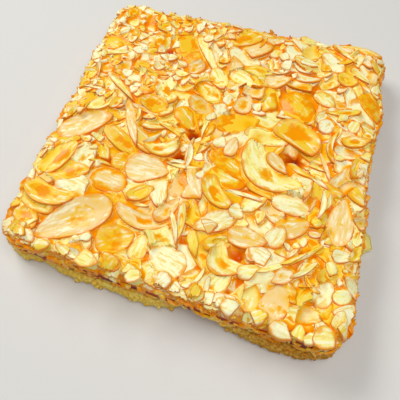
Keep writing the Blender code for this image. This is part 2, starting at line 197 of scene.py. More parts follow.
# Smaller pieces that the solids leave out, in columns like those of LAID.
EXTRAS = (
    (34, -34.3, 45, 14, 1.6, "cream"),
    (36, -32.8, 47, 13, 1.5, "yellow"),
    (33.5, -1.8, -27, 9, 1.8, "cream"),
    (43.7, 38.7, -35, 10, 2, "cream"),
    (25, 28.7, -3, 12, 3, "amber"),
    (26, 40.2, 0, 8, 3, "white"),
    (18, 37.2, 20, 5, 4, "white"),
    (39, 36.2, -15, 7, 5, "amber"),
    (45, 9.7, 10, 10, 4, "amber"),
    (43.5, 15.7, 70, 5, 4, "cream"),
    (35, 13.7, 60, 6, 5, "white"),
    (48, -10.3, -40, 9, 5, "amber"),
    (47.5, -48.8, 90, 7, 4.5, "cream"),
    (47.5, -41.3, 30, 6, 4.5, "cream"),
    (45.5, -30.3, 15, 6, 4, "white"),
    (43.5, -35.3, -65, 6, 3, "cream"),
    (37.5, -21.3, 20, 4.5, 4, "yellow"),
    (37.5, -25.3, 0, 4, 2, "pink"),
    (7.5, -31.3, 35, 6, 5, "pink"),
    (5, -37.3, -65, 9, 3, "yellow"),
    (22.5, -36.3, 15, 6, 4.5, "white"),
    (7.5, -2.3, 80, 7, 4.5, "pink"),
    (22.5, -4.3, -38, 9, 4.5, "pink"),
    (-31.5, -13.8, -60, 7, 4, "yellow"),
    (-22, 2.7, 0, 5, 3, "white"),
    (-34, 5.2, 80, 7, 4, "amber"),
    (-42.5, 45.7, -50, 7, 4, "cream"),
    (-35.5, 45.2, -55, 7, 3.5, "white"),
    (-14, 29.2, 30, 8, 6, "pink"),
    (-28, -45.3, 20, 4.5, 3, "white"),
    (-24.5, -44.3, 60, 4, 3.2, "white"),
    (-8, -47.3, 10, 5, 4, "yellow"),
    (-44, 21.2, 50, 4.5, 4, "white"),
    (-44, 16.7, 10, 4, 3, "white"),
    (-22, 27.7, 20, 4.5, 3.5, "white"),
    (-23.5, 38.2, 80, 4.5, 3, "cream"),
    (-32, 29.2, 10, 5, 4, "white"),
    (-48, 48.7, 40, 4.5, 4, "white"),
)
# Chunky pieces that hang over the near rim.
RIM_BITS = (
    (26.6, -53.0, 35, 5.5, 4.2, "yellow"),
    (33.6, -54.9, -12, 7.5, 4.4, "white"),
    (37.4, -54.7, 75, 4.6, 3.4, "yellow"),
    (40.6, -55.2, 20, 3.8, 3.0, "cream"),
    (44.8, -53.8, 15, 8.0, 5.6, "cream"),
    (48.8, -50.4, 60, 5.0, 3.8, "yellow"),
    (20.0, -52.8, -10, 6.5, 4.6, "white"),
    (-7.5, -51.2, 15, 5.5, 3.8, "cream"),
    (-22.0, -50.2, -10, 7.5, 5.0, "cream"),
    (-36.0, -49.6, 20, 5.5, 3.6, "yellow"),
)
RIM_THICKNESS = 1.7
RIM_STEEPEST = 1.0
# The slivers and slices that lie on top of everything else.
TOPMOST = (
    (25.0, -36.6, -20, 9.0, 5.5, "white"),
    (30.6, -40.6, 30, 7.5, 5.0, "pink"),
    (22.0, -41.6, 15, 7.0, 4.6, "cream"),
    (31.4, -36.0, 38, 12.0, 1.7, "yellow"),
    (36.8, -36.6, 50, 11.0, 1.6, "cream"),
    (28.4, -38.6, 32, 11.0, 1.6, "cream"),
    (-38.0, 8.0, 60, 8.0, 2.0, "yellow"),
)

# The draws that only this script makes.
SCENE_SEED = SEED + 1
CRUMB_SEED = SEED + 3
RIPPLE_SEED = SEED + 5
HANGING_SEED = SEED + 7
SCATTER_TRIES = 30
SCATTER_NEAR_Y = NEAR_Y - 3
# No piece lies over a pit within this share of its radius.
PIT_CORE = 0.7
GLAZED_SHARE = 0.3
BROKEN_MARGIN = 7.0
MOST_ON_LAID = 0.12

# Almonds at the cut sides: their heights, how far out of line they are, and how far they stand out.
SIDE_LEVELS = (5.8, 10.8)
LEVEL_STEP = 0.382
LEVEL_SHUFFLE = 0.15
SIDE_SHUFFLE = 0.6
SIDE_TURN = 0.35
STAND_OUT = (-0.2, 1.0)
# How far out of the slab's edge an almond may reach, by its height.
REACH_HEIGHTS = (5.0, 8.0, 10.0, 12.0, 14.0)
REACHES = (0.1, 0.45, 0.35, -0.6, -1.6)
CUT_JAG = 0.8
CUT_JAG_PACE = 3.0
CUT_GIVE = (-0.5, 0.15)
CUT_SHARES = (0.05, 1, 24)
LEAST_LEFT = 0.4

# Almond colours (sRGB), how often each is drawn, and how that varies from piece to piece. The white and
# pink tones are partly the almonds' own colour and partly painted sheen, the pale wash of reflected light
# on flat flakes.
TONES = {
    "white": (253, 251, 198),
    "cream": (252, 242, 150),
    "yellow": (250, 220, 80),
    "pink": (247, 215, 150),
    "amber": (248, 202, 56),
}
TONE_WEIGHTS = (9, 9, 5, 3, 4)
NIB_TONE_WEIGHTS = (14, 9, 4, 2, 1)
TONE_SPREAD = 5
BLUER_SPREAD = 0.5

# The caramel, on a grid that is finer than the layout's.
FINE = 0.4
FINE_X = (LEFT_X - 3, RIGHT_X + 3.5)
FINE_Y = (NEAR_Y - 6, FAR_Y + 4)
MENISCUS = 1.0
LEVEL_SPREAD = 3.0
CARAMEL_DEPTH = 0.14
CARAMEL_WAVE = 0.3
CARAMEL_WAVE_SIZE = 5.0
RISE_WIDTH = 1.6
CHOPPED_RISE = 0.16
PIT_DEPTH = 2.6
CEILING_ROOM = 1.4
CEILING_GIVE = 1.15

# An almond's outline: shares of its roughness with their paces, its pointed end, and its breaks.
ANGLES = 72
OUTLINE_WAVES = ((1.0, 1.3), (0.5, 3.5), (0.25, 9.0))
TIP = 0.05
TIP_SPREAD = 0.4
TAPER = (0.05, 0.3)
BREAK_TURN = 0.35
BREAK_REACH = (0.3, 0.8)
BREAK_JAG = 0.06
BREAK_PACE = 5.0
# No point of an almond is further from its middle than this share of its length.
FARTHEST = 0.7
# Neither its taper nor its outline is taken for less than this, so that its shares stay finite.
LEAST_TAPERED = 0.2
LEAST_REACH = 0.02

# How almonds are bent, and what each bend is less by, so that the almond keeps its place.
CUP = (0.1, 0.5)
TWIST = 0.5
BOW_OFFSET = 0.3
CUP_OFFSET = 0.4
DRAPE_OFFSET = 0.25
DRAPING = 0.6
MOST_DRAPE = 0.9
FEWEST_CELLS = 6

# An almond's edge: how far in from it the top's rings lie, and where it is rounded off.
EDGE_STEPS = (0.0, 0.12, 0.35, 0.9, 2.0, 3.6, 5.6, 8.0)
INNERMOST = 0.85
EDGE_ROUND = 0.35
EDGE_DROP = 0.3
EDGE_SEGMENT = 0.62
SEGMENTS = (14, 64)
UNDERSIDE_LIFT = 0.1
UNDER_GAP = 0.06
UNDER_EDGE = 0.25
NEIGHBOUR_SHARE = 0.6
GRAIN_SIZE = 1.4
GRAIN_HEIGHT = 0.1
SHARP_ANGLE = 55

# Pieces of less than this mean radius are paler, with a fainter outline.
SMALL_RADIUS = 3.5
POOLING = 1.2
# The less blue there is in an almond's colour, the more caramel has stayed on it.
GLAZING = 1.0
GLAZED_BLUE = 0.22
# The side of each almond away from the lights, toward the near right: the rim there is painted darker and
# wider, as painted shade.
SHADED_SIDE = (0.5, -0.85)

# An almond that was cut through at a side: what its material takes it for. Its depth grows the further it
# lies behind the cut edge, which paints it darker as painted shade.
CUT_EDGE = 1.6
CUT_FILM = 0.14
CUT_DEPTH = 0.7
MOST_CUT_DEPTH = 2.6
# Behind this margin it lies this deep under the caramel.
CUT_MARGIN = 1.2
CUT_COVER = 0.3
CUT_HANG = 0.4

# The caramel's cut side: rings down it, and what its material takes it for; the further a place lies
# behind the edge, the darker red-brown it is painted, as painted shade in the recesses.
SIDE_STEPS = 9
SIDE_THICK = 0.2
SIDE_DEPTH = 1.1
MOST_SIDE_DEPTH = 2.1
SIDE_SHADE = 2.4
# Its crags.
CRAG = 0.8
FINE_CRAG = 0.3
FINE_CRAG_SIZE = 0.9
CRAG_LENGTH = 3
CRAG_HEIGHT = 1.1
CRAG_OFFSET = 0.25

# The shortbread's side: points round it and up it, and shares of its crumbliness with their sizes.
BASE_COLUMNS = 900
BASE_ROWS = 15
CRUMBLY_WAVES = ((0.55, 2.6), (0.35, 1.2), (0.18, 0.6))
PEBBLE_SIZE = 1.7
PEBBLE_HEIGHT = 0.5
EVEN_SHARE = 0.25
# Its underside's and its top's rings, as shares of its size.
UNDER_RINGS = (0.9, 0.985)
TOP_RINGS = (0.995, 0.985, 0.9)

CRUMBS = 520
CRUMB_PLACES = 2000
CRUMB_SIZES = (0.6, 1.8)
CRUMB_STRETCH = (0.8, 1.3)
CRUMB_INSET = (0.0, 0.9)
CRUMB_HEADROOM = 0.2
CRUMB_FLOOR = 0.02
CRUMB_ROUGH = 0.55
CRUMB_PACE = 3
CHIP_CENTRE = (52.9, -17.5, 1.7)
CHIP_SIZE = (5.6, 8.0, 3.8)
CHIP_SEED = 4
# The places in x between which the base's colour gives way to the chip's paler one, which is painted
# light, since the chip lies in the slab's shadow.
CHIP_FADE = (51.5, 53.5)

# The camera, in millimetres, and the lens that goes with the frame's width.
CAMERA_AT = (23.3, -89.3, 133.2)
CAMERA_TO = (2.9, -22.8, 13.0)
CAMERA_ROLL = -1.4
LENS = 42.03

# The studio: the floor in metres, the two lights' power in watts, and the place that they point to.
FLOOR_SIZE = 4
FLOOR_GAP = 0.0001
LIGHT_POWER = 2.85
LIT_PLACE = (0, 0, 10)
SKY_STRENGTH = 0.12


def srgb(colour):
    """A colour of 0 to 255 as linear light."""
    shares = [c / 255 for c in colour]
    return tuple(c / 12.92 if c <= 0.04045 else ((c + 0.055) / 1.055) ** 2.4 for c in shares)


@dataclass
class Flake:
    """A sliced almond: where it lies, in what plane, and how long and wide it is."""

    x: float
    y: float
    yaw: float
    length: float
    width: float
    z: float = 0.0
    slope_x: float = 0.0
    slope_y: float = 0.0
    thickness: float = FLAKE_THICKNESS

    def height(self, x, y):
        """The height of the almond's underside at a point of the plan."""
        return self.z + self.slope_x * (x - self.x) + self.slope_y * (y - self.y)

    def axes(self, x, y):
        """How far a point of the plan lies along and across the almond, from its middle."""
        cos, sin = math.cos(self.yaw), math.sin(self.yaw)
        x, y = x - self.x, y - self.y
        return x * cos + y * sin, y * cos - x * sin


# ---- the slab's plan ----


def rounded_plan():
    """Closely spaced points round the plan, anticlockwise from the near left corner."""
    corners = (
        Vector((LEFT_X, NEAR_Y + NEAR_SKEW)),
        Vector((RIGHT_X, NEAR_Y - NEAR_SKEW)),
        Vector((RIGHT_X, FAR_Y)),
        Vector((LEFT_X, FAR_Y)),
    )
    arc_steps = 12
    points = []
    for i, corner in enumerate(corners):
        before = (corners[i - 1] - corner).normalized()
        after = (corners[(i + 1) % 4] - corner).normalized()
        radius = CORNER_RADII[i]
        half = before.angle(after) / 2
        centre = corner + (before + after).normalized() * radius / math.sin(half)
        start = corner + before * radius / math.tan(half) - centre
        turn = math.pi - 2 * half
        for step in range(arc_steps + 1):
            angle = turn * step / arc_steps
            cos, sin = math.cos(angle), math.sin(angle)
            arm = Vector((start.x * cos - start.y * sin, start.x * sin + start.y * cos))
            points.append(centre + arm)
    return np.array(points)


def even_points(loop, count):
    """A closed loop of this many points, equally far apart."""
    closed = np.vstack([loop, loop[:1]])
    steps = np.linalg.norm(np.diff(closed, axis=0), axis=1)
    along = np.concatenate([[0.0], np.cumsum(steps)])
    wanted = np.linspace(0.0, along[-1], count, endpoint=False)
    return np.stack([np.interp(wanted, along, closed[:, k]) for k in (0, 1)], axis=1)


def outward(loop):
    """The outward normal at each point of an anticlockwise loop."""
    tangent = np.roll(loop, -1, axis=0) - np.roll(loop, 1, axis=0)
    tangent /= np.linalg.norm(tangent, axis=1)[:, None]
    return np.stack([tangent[:, 1], -tangent[:, 0]], axis=1)


def uneven_loop(dents, phase):
    """The slab's edge as cut by hand: waves, then the named bulges and notches."""
    loop = even_points(rounded_plan(), RIM_POINTS)
    places = [Vector((x / WAVE_LENGTH, y / WAVE_LENGTH, phase)) for x, y in loop]
    push = np.array([EDGE_WAVE * noise.noise(place) for place in places])
    for x, y, depth, spread in dents:
        away = np.hypot(loop[:, 0] - x, loop[:, 1] - y)
        push += depth * np.exp(-((away / spread) ** 2))
    return loop + outward(loop) * push[:, None]


def signed_distance(loop, points):
    """How far each point lies outside the loop, or less than nothing inside it."""
    if len(points) > 6000:
        parts = np.array_split(points, len(points) // 5000)
        return np.concatenate([signed_distance(loop, part) for part in parts])
    a, b = loop, np.roll(loop, -1, axis=0)
    edge = b - a
    to_point = points[:, None, :] - a[None]
    share = np.clip((to_point * edge).sum(2) / (edge * edge).sum(1), 0, 1)
    nearest = np.linalg.norm(to_point - share[..., None] * edge, axis=2).min(1)
    crosses = (a[:, 1] > points[:, None, 1]) != (b[:, 1] > points[:, None, 1])
    rise = np.where(edge[:, 1] == 0, 1e-9, edge[:, 1])
    at_x = a[:, 0] + (points[:, None, 1] - a[:, 1]) / rise * edge[:, 0]
    inside = (crosses & (points[:, None, 0] < at_x)).sum(1) % 2 == 1
    return np.where(inside, -nearest, nearest)


def grid_distance(loop, x, y):
    """The signed distance at each place of a grid."""
    return signed_distance(loop, np.stack([x.ravel(), y.ravel()], axis=1)).reshape(x.shape)


def shoulder_height(outside):
    """The height of the top without its almonds, by how far outside the edge a place is."""
    insets, heights = zip(*reversed(LAYER_SHOULDER))
    return np.interp(outside, [-inset for inset in insets], heights)


# ---- laying the almonds, as in the solids ----


class Bed:
    """The top of the slab as a square grid of heights, on which almonds are laid one by one."""

    def __init__(self, loop):
        ticks = np.arange(-FIELD, FIELD, CELL)
        self.x, self.y = np.meshgrid(ticks, ticks, indexing="ij")
        outside = grid_distance(loop, self.x, self.y)
        self.top = shoulder_height(outside) - BED_FALL * np.clip(outside, 0, BED_FALL_WIDTH)
        self.bare = self.top.copy()
        self.owner = np.full(self.x.shape, -1)
        self.flakes = []

    def cells_under(self, flake):
        """The part of the grid round an almond, and which of its cells the almond covers."""
        reach = int(flake.length / 2 / CELL) + 1
        i, j = self.cell_at((flake.x, flake.y))
        window = slice(max(i - reach, 0), i + reach), slice(max(j - reach, 0), j + reach)
        along, across = flake.axes(self.x[window], self.y[window])
        return window, (2 * along / flake.length) ** 2 + (2 * across / flake.width) ** 2 <= 1

    def lay(self, flake, tilt, sink=FLAKE_SINK, steepest=MOST_SLOPE):
        """Lets an almond down on what lies below it, and adds it to the bed."""
        window, covered = self.cells_under(flake)
        x, y, below = (grid[window][covered] for grid in (self.x, self.y, self.top))
        terms = np.stack([np.ones(len(x)), x - flake.x, y - flake.y], axis=1)
        _, slope_x, slope_y = np.linalg.lstsq(terms, below, rcond=None)[0]
        flake.slope_x = float(np.clip(SETTLING * slope_x + tilt[0], -steepest, steepest))
        flake.slope_y = float(np.clip(SETTLING * slope_y + tilt[1], -steepest, steepest))
        flake.z = float(np.quantile(below - flake.height(x, y), RESTING_SHARE)) - sink
        upper = flake.height(x, y) + flake.thickness
        highest = upper > below
        self.top[window][covered] = np.maximum(below, upper)
        owners = self.owner[window][covered]
        owners[highest] = len(self.flakes)
        self.owner[window][covered] = owners
        self.flakes.append(flake)

    def cell_at(self, point):
        """The row and column of the grid's point next to this one."""
        return [int(round((c + FIELD) / CELL)) for c in point]

    def height_at(self, point):
        """The top's height at a point."""
        return self.top[tuple(self.cell_at(point))]

    def cover_at(self, point):
        """How thickly almonds lie at a point."""
        cell = tuple(self.cell_at(point))
        return self.top[cell] - self.bare[cell]


def chopped(x, y):
    """Whether a place lies where the almonds are mostly broken small."""
    return (x < CHOPPED_X) & (y > CHOPPED_Y)


def lay_bed(bed, loop, rng):
    """Lays almonds evenly over the caramel, one to each cell of a loose grid, none in a pit."""
    cell_x = (RIGHT_X - LEFT_X) / BED_COLUMNS
    cell_y = (FAR_Y - NEAR_Y) / BED_ROWS
    places = [(column, row) for column in range(BED_COLUMNS) for row in range(BED_ROWS)]
    rng.shuffle(places)
    for column, row in places:
        tries = [(column + rng.random(), row + rng.random()) for _ in range(BED_TRIES)]
        spots = [(LEFT_X + cell[0] * cell_x, NEAR_Y + cell[1] * cell_y) for cell in tries]
        x, y = min(spots, key=bed.height_at)
        yaw = rng.uniform(0, 2 * math.pi)
        length = rng.uniform(*BED_LENGTH)
        width = length * rng.uniform(*BED_ASPECT)
        tilt = rng.gauss(0, LOOSE_TILT), rng.gauss(0, LOOSE_TILT)
        if chopped(x, y):
            length, width = CHOPPED_SHARE * length, CHOPPED_SHARE * width
        in_pit = any(math.hypot(x - px, y - py) < radius + width / 2 for px, py, radius in PITS)
        if signed_distance(loop, np.array([[x, y]]))[0] < -LOOSE_INSET and not in_pit:
            bed.lay(Flake(x, y, yaw, length, width), tilt)


# ---- what the solids leave out ----


@dataclass(frozen=True)
class Kind:
    """A kind of almond piece: its shape and, where the scene scatters it, how many and how large."""

    rough: float
    breaks: tuple
    bow: float
    count: int = 0
    length: tuple = (0.0, 0.0)
    aspect: tuple = (0.0, 0.0)
    thickness: tuple = (1.0, 1.0)
    tilt: float = 0.0
    sink: float = FLAKE_SINK
    inset: tuple = (1.2, 99.0)
    steepest: float = MOST_SLOPE


LOOSE = Kind(0.12, (0, 1, 1, 2), 0.05)
CHOSEN = Kind(0.06, (0,), 0.015)
FILLER = Kind(0.12, (0, 1, 1), 0.06, 130, (9.0, 16.0), (0.45, 0.65), (0.8, 1.0), 0.1, 0.2)
FRAGMENT = Kind(0.14, (1, 2, 2), 0.08, 130, (4.5, 9.0), (0.4, 0.7), (0.7, 1.0), 0.12, 0.5)
SLIVER = Kind(0.12, (0, 1), 0.2, 120, (5.5, 13.0), (0.13, 0.22), (0.8, 1.1), 0.06, 0.55, (2.6, 99.0))
EDGE_BIT = Kind(0.16, (1, 2), 0.08, 150, (3.5, 8.0), (0.45, 0.75), (0.7, 1.1), 0.08, 0.85, (0.6, 3.6), 0.7)
NIB = Kind(0.2, (2, 3, 3), 0.0, 190, (2.8, 6.4), (0.5, 0.9), (0.7, 1.1), 0.12, 0.75)
NEAR_BIT = Kind(0.18, (1, 2), 0.06, 70, (4.0, 8.0), (0.5, 0.85), (1.0, 1.9), 0.15, 0.9, (-0.2, 2.6), 1.2)
CUT_SLICE = Kind(0.14, (0, 1), 0.05, 115, (5.0, 13.0), (0.4, 0.62), (0.7, 1.3), 0.26)
CUT_NIB = Kind(0.25, (2, 3), 0.0, 290, (2.4, 5.6), (0.55, 0.95), (1.1, 2.6), 0.5)


def fitting_spots(kind, loop, rng):
    """Random places where a piece of this kind may lie."""
    tries = range(SCATTER_TRIES)
    spots = [(rng.uniform(LEFT_X, RIGHT_X), rng.uniform(SCATTER_NEAR_Y, FAR_Y)) for _ in tries]
    inset = -signed_distance(loop, np.array(spots))
    fits = (inset > kind.inset[0]) & (inset < kind.inset[1])
    spots = [spot for spot, fit in zip(spots, fits) if fit]
    if kind is NIB and rng.random() < CHOPPED_PULL:
        return [spot for spot in spots if near_chopped(*spot)]
    if kind is FILLER:
        return [spot for spot in spots if not chopped(*spot)]
    if kind is EDGE_BIT and rng.random() > GLAZED_SHARE:
        return [spot for spot in spots if at_broken_edge(*spot)]
    if kind is NEAR_BIT:
        return [spot for spot in spots if spot[1] < NEAR_Y + BROKEN_MARGIN][:1]
    return spots


def scattered(kind, bed, loop, kept, rng, under=None):
    """Pieces of a kind, each in the least covered of a few places, laid on the bed or on one under it."""
    flakes = []
    while len(flakes) < kind.count:
        spots = fitting_spots(kind, loop, rng)
        if not spots:
            continue
        x, y = min(spots, key=bed.cover_at)
        length = rng.uniform(*kind.length)
        flake = Flake(x, y, rng.uniform(0, 2 * math.pi), length, length * rng.uniform(*kind.aspect))
        flake.thickness = rng.uniform(*kind.thickness)
        tilt = rng.gauss(0, kind.tilt), rng.gauss(0, kind.tilt)
        window, covered = bed.cells_under(flake)
        if over_a_pit(bed.x[window][covered], bed.y[window][covered]):
            continue
        if under:
            under.lay(flake, tilt, kind.sink, kind.steepest)
            bed.top[window] = np.maximum(bed.top[window], under.top[window])
            flakes.append(flake)
        elif np.isin(bed.owner[window][covered], kept).mean() <= MOST_ON_LAID:
            bed.lay(flake, tilt, kind.sink, kind.steepest)
            flakes.append(flake)
    return flakes


def over_a_pit(x, y):
    """Whether any of these places is in the deep of a pit."""
    return any((np.hypot(x - px, y - py) < PIT_CORE * radius).any() for px, py, radius in PITS)


def near_chopped(x, y):
    """Whether a place lies where the almonds are broken small, or a little beyond."""
    return chopped(x - CHOPPED_FADE, y + CHOPPED_FADE)


def at_broken_edge(x, y):
    """Whether a place is by the near or the right side, which are the less smoothly glazed ones."""
    return y < NEAR_Y + BROKEN_MARGIN or x > RIGHT_X - BROKEN_MARGIN


def side_pieces(kind, loop, rng):
    """Pieces that lie in the caramel and were cut through at the slab's sides."""
    rim = even_points(loop, 4 * RIM_POINTS)
    normals = outward(rim)
    low, high = SIDE_LEVELS
    flakes = []
    for k in range(kind.count):
        at = int(len(rim) * (k + rng.uniform(-SIDE_SHUFFLE, SIDE_SHUFFLE)) / kind.count) % len(rim)
        length = rng.uniform(*kind.length)
        width = length * rng.uniform(*kind.aspect)
        level = low + (high - low) * ((k * LEVEL_STEP + rng.uniform(0, LEVEL_SHUFFLE)) % 1)
        x, y = rim[at] - normals[at] * (width / 2 - rng.uniform(*STAND_OUT))
        yaw = math.atan2(normals[at][0], -normals[at][1]) + rng.gauss(0, SIDE_TURN)
        flake = Flake(x, y, yaw, length, width, level)
        flake.slope_x, flake.slope_y = rng.gauss(0, kind.tilt), rng.gauss(0, kind.tilt)
        flake.thickness = rng.uniform(*kind.thickness)
        flake.z -= flake.thickness / 2
        flakes.append(flake)
    return flakes


# ---- the form of one almond ----


def turns(count):
    """This many angles, evenly round a circle."""
    return np.linspace(0, 2 * math.pi, count, endpoint=False)


class Slice:
    """The true form of an almond piece: its uneven outline, its bend, and its cut edge."""

    def __init__(self, flake, tone, kind, rng):
        self.flake = flake
        self.tone = tone
        self.phase = rng.uniform(0, 100)
        turn = turns(ANGLES)
        wave = kind.rough * sum(share * self.waves(pace) for share, pace in OUTLINE_WAVES)
        tip = TIP * np.exp(-((np.minimum(turn, 2 * math.pi - turn) / TIP_SPREAD) ** 2))
        self.outline = 1 + wave + tip
        self.taper = rng.uniform(*TAPER)
        for _ in range(rng.choice(kind.breaks)):
            self.break_off(turn, rng)
        self.bow = rng.gauss(0, kind.bow) * flake.length / 2
        self.cup = rng.gauss(*CUP)
        self.twist = rng.gauss(0, TWIST)
        self.give = rng.uniform(*CUT_GIVE)
        self.drape = np.zeros(3)
        self.mean_radius = math.sqrt(flake.length * flake.width) / 2

    def curl(self, turned, bow, gone, cup):
        """Bends the slice in plan, takes some of its hollow side off, blunts its ends, and cups it."""
        self.flake.yaw += math.radians(turned)
        self.bow, self.cup, self.taper = bow, cup, CURLED_TAPER
        turn = turns(ANGLES)
        self.outline *= 1 - gone * np.maximum(np.sin(turn), 0) ** 2
        self.outline /= np.cbrt(np.abs(np.cos(turn)) ** 3 + np.abs(np.sin(turn)) ** 3)

    def waves(self, pace):
        """Noise round the outline, with about this many swings in each quarter of it."""
        ring = [(pace * math.cos(t), pace * math.sin(t), self.phase + pace) for t in turns(ANGLES)]
        return np.array([noise.noise(Vector(point)) for point in ring])

    def break_off(self, turn, rng):
        """Cuts one end or side off by a slightly jagged line."""
        facing = rng.choice((0, math.pi, rng.uniform(0, 2 * math.pi))) + rng.gauss(0, BREAK_TURN)
        reach = rng.uniform(*BREAK_REACH)
        toward = np.cos(turn - facing)
        jag = 1 + BREAK_JAG * self.waves(BREAK_PACE)
        cut = np.where(toward > 0.01, reach * jag / np.maximum(toward, 0.01), 10)
        self.outline = np.minimum(self.outline, cut)

    def reach_at(self, angle):
        """The outline's radius at an angle, as a share of the almond's half length and half width."""
        around = np.append(turns(ANGLES), 2 * math.pi)
        return np.interp(angle % (2 * math.pi), around, [*self.outline, self.outline[0]])

    def trim(self, loop):
        """Cuts the outline where the slab was cut, and says whether much is left."""
        flake = self.flake
        limit = self.give + float(np.interp(flake.z + flake.thickness / 2, REACH_HEIGHTS, REACHES))
        middle = signed_distance(loop, np.array([[flake.x, flake.y]]))[0]
        if middle + FARTHEST * flake.length < limit:
            return True
        shares = np.linspace(*CUT_SHARES)
        radius = self.outline[:, None] * shares[None]
        turn = turns(ANGLES)[:, None]
        x, y = self.place(radius * np.cos(turn), radius * np.sin(turn))
        out = grid_distance(loop, x, y) > limit + CUT_JAG * self.waves(CUT_JAG_PACE)[:, None]
        first = np.where(out.any(1), out.argmax(1), len(shares) - 1)
        self.outline = self.outline * shares[first]
        return middle < limit - LEAST_LEFT

    def place(self, a, b):
        """The point of the plan at these shares of the half length and half width."""
        flake = self.flake
        along = a * flake.length / 2
        across = b * (1 - self.taper * a) * flake.width / 2 + self.bow * (a * a - BOW_OFFSET)
        cos, sin = math.cos(flake.yaw), math.sin(flake.yaw)
        return flake.x + along * cos - across * sin, flake.y + along * sin + across * cos

    def shares(self, x, y):
        """The inverse of place: the distance in from the edge, and the two shares."""
        flake = self.flake
        along, across = flake.axes(x, y)
        a = along * 2 / flake.length
        across = across - self.bow * (a * a - BOW_OFFSET)
        b = across * 2 / flake.width / np.maximum(1 - self.taper * a, LEAST_TAPERED)
        radius = np.hypot(a, b) / np.maximum(self.reach_at(np.arctan2(b, a)), LEAST_REACH)
        return (1 - radius) * self.mean_radius, a, b

    def middle(self, x, y, a, b):
        """The height of the bent underside."""
        bend = self.cup * (a * a + b * b - CUP_OFFSET) + self.twist * a * b
        bend = bend + self.drape[0] * (a * a - DRAPE_OFFSET) + self.drape[1] * a * b
        bend = bend + self.drape[2] * (b * b - DRAPE_OFFSET)
        return self.flake.height(x, y) + bend

    def upper(self, x, y, edge, a, b):
        """The height of the top face, which is rounded off within a little of the edge."""
        near = np.clip(1 - edge / EDGE_ROUND, 0, 1)
        return self.middle(x, y, a, b) + self.flake.thickness * (1 - EDGE_DROP * near**2)

    def surface(self):
        """Points, faces, each point's distance in from the edge, and its place along and across."""
        steps = [step for step in EDGE_STEPS if step < INNERMOST * self.mean_radius]
        girth = math.pi * 2 * self.mean_radius
        segments = int(np.clip(girth / EDGE_SEGMENT, *SEGMENTS))
        turn = turns(segments)
        reach = self.reach_at(turn)
        rings = [(step, True) for step in reversed(steps)] + [(0.0, False)]
        verts, edges, lays = [], [], []
        for edge, on_top in rings:
            share = 1 - edge / self.mean_radius
            a, b = share * reach * np.cos(turn), share * reach * np.sin(turn)
            self.add_points(verts, edges, lays, a, b, np.full(segments, edge), on_top)
        centre = np.zeros(1), np.zeros(1), np.full(1, self.mean_radius)
        for on_top in (True, False):
            self.add_points(verts, edges, lays, *centre, on_top)
        faces = ring_faces(segments, len(rings))
        return np.vstack(verts), faces, np.concatenate(edges), np.vstack(lays)

    def add_points(self, verts, edges, lays, a, b, edge, on_top):
        """Adds the points at these shares, on the top face or on the underside."""
        x, y = self.place(a, b)
        height = self.upper(x, y, edge, a, b) if on_top else self.middle(x, y, a, b) + UNDERSIDE_LIFT
        verts.append(np.stack([x, y, height], axis=1))
        edges.append(edge)
        along, across = a * self.flake.length / 2, b * self.flake.width / 2
        lay = along + self.phase, across + 3 * self.phase, np.full(len(a), self.phase)
        lays.append(np.stack(lay, axis=1))


def ring_faces(segments, rings):
    """Quads between rings of points, and a fan at each end: the first ring's middle, then the last's."""
    k = np.arange(segments)
    n = (k + 1) % segments
    faces = []
    for ring in range(rings - 1):
        low, high = ring * segments, (ring + 1) * segments
        faces += np.stack([low + k, high + k, high + n, low + n], axis=1).tolist()
    first, last = rings * segments, rings * segments + 1
    end = (rings - 1) * segments
    faces += np.stack([k, n, np.full(segments, first)], axis=1).tolist()
    faces += np.stack([end + n, end + k, np.full(segments, last)], axis=1).tolist()
    return faces


# ---- the relief of the top, and the caramel in it ----


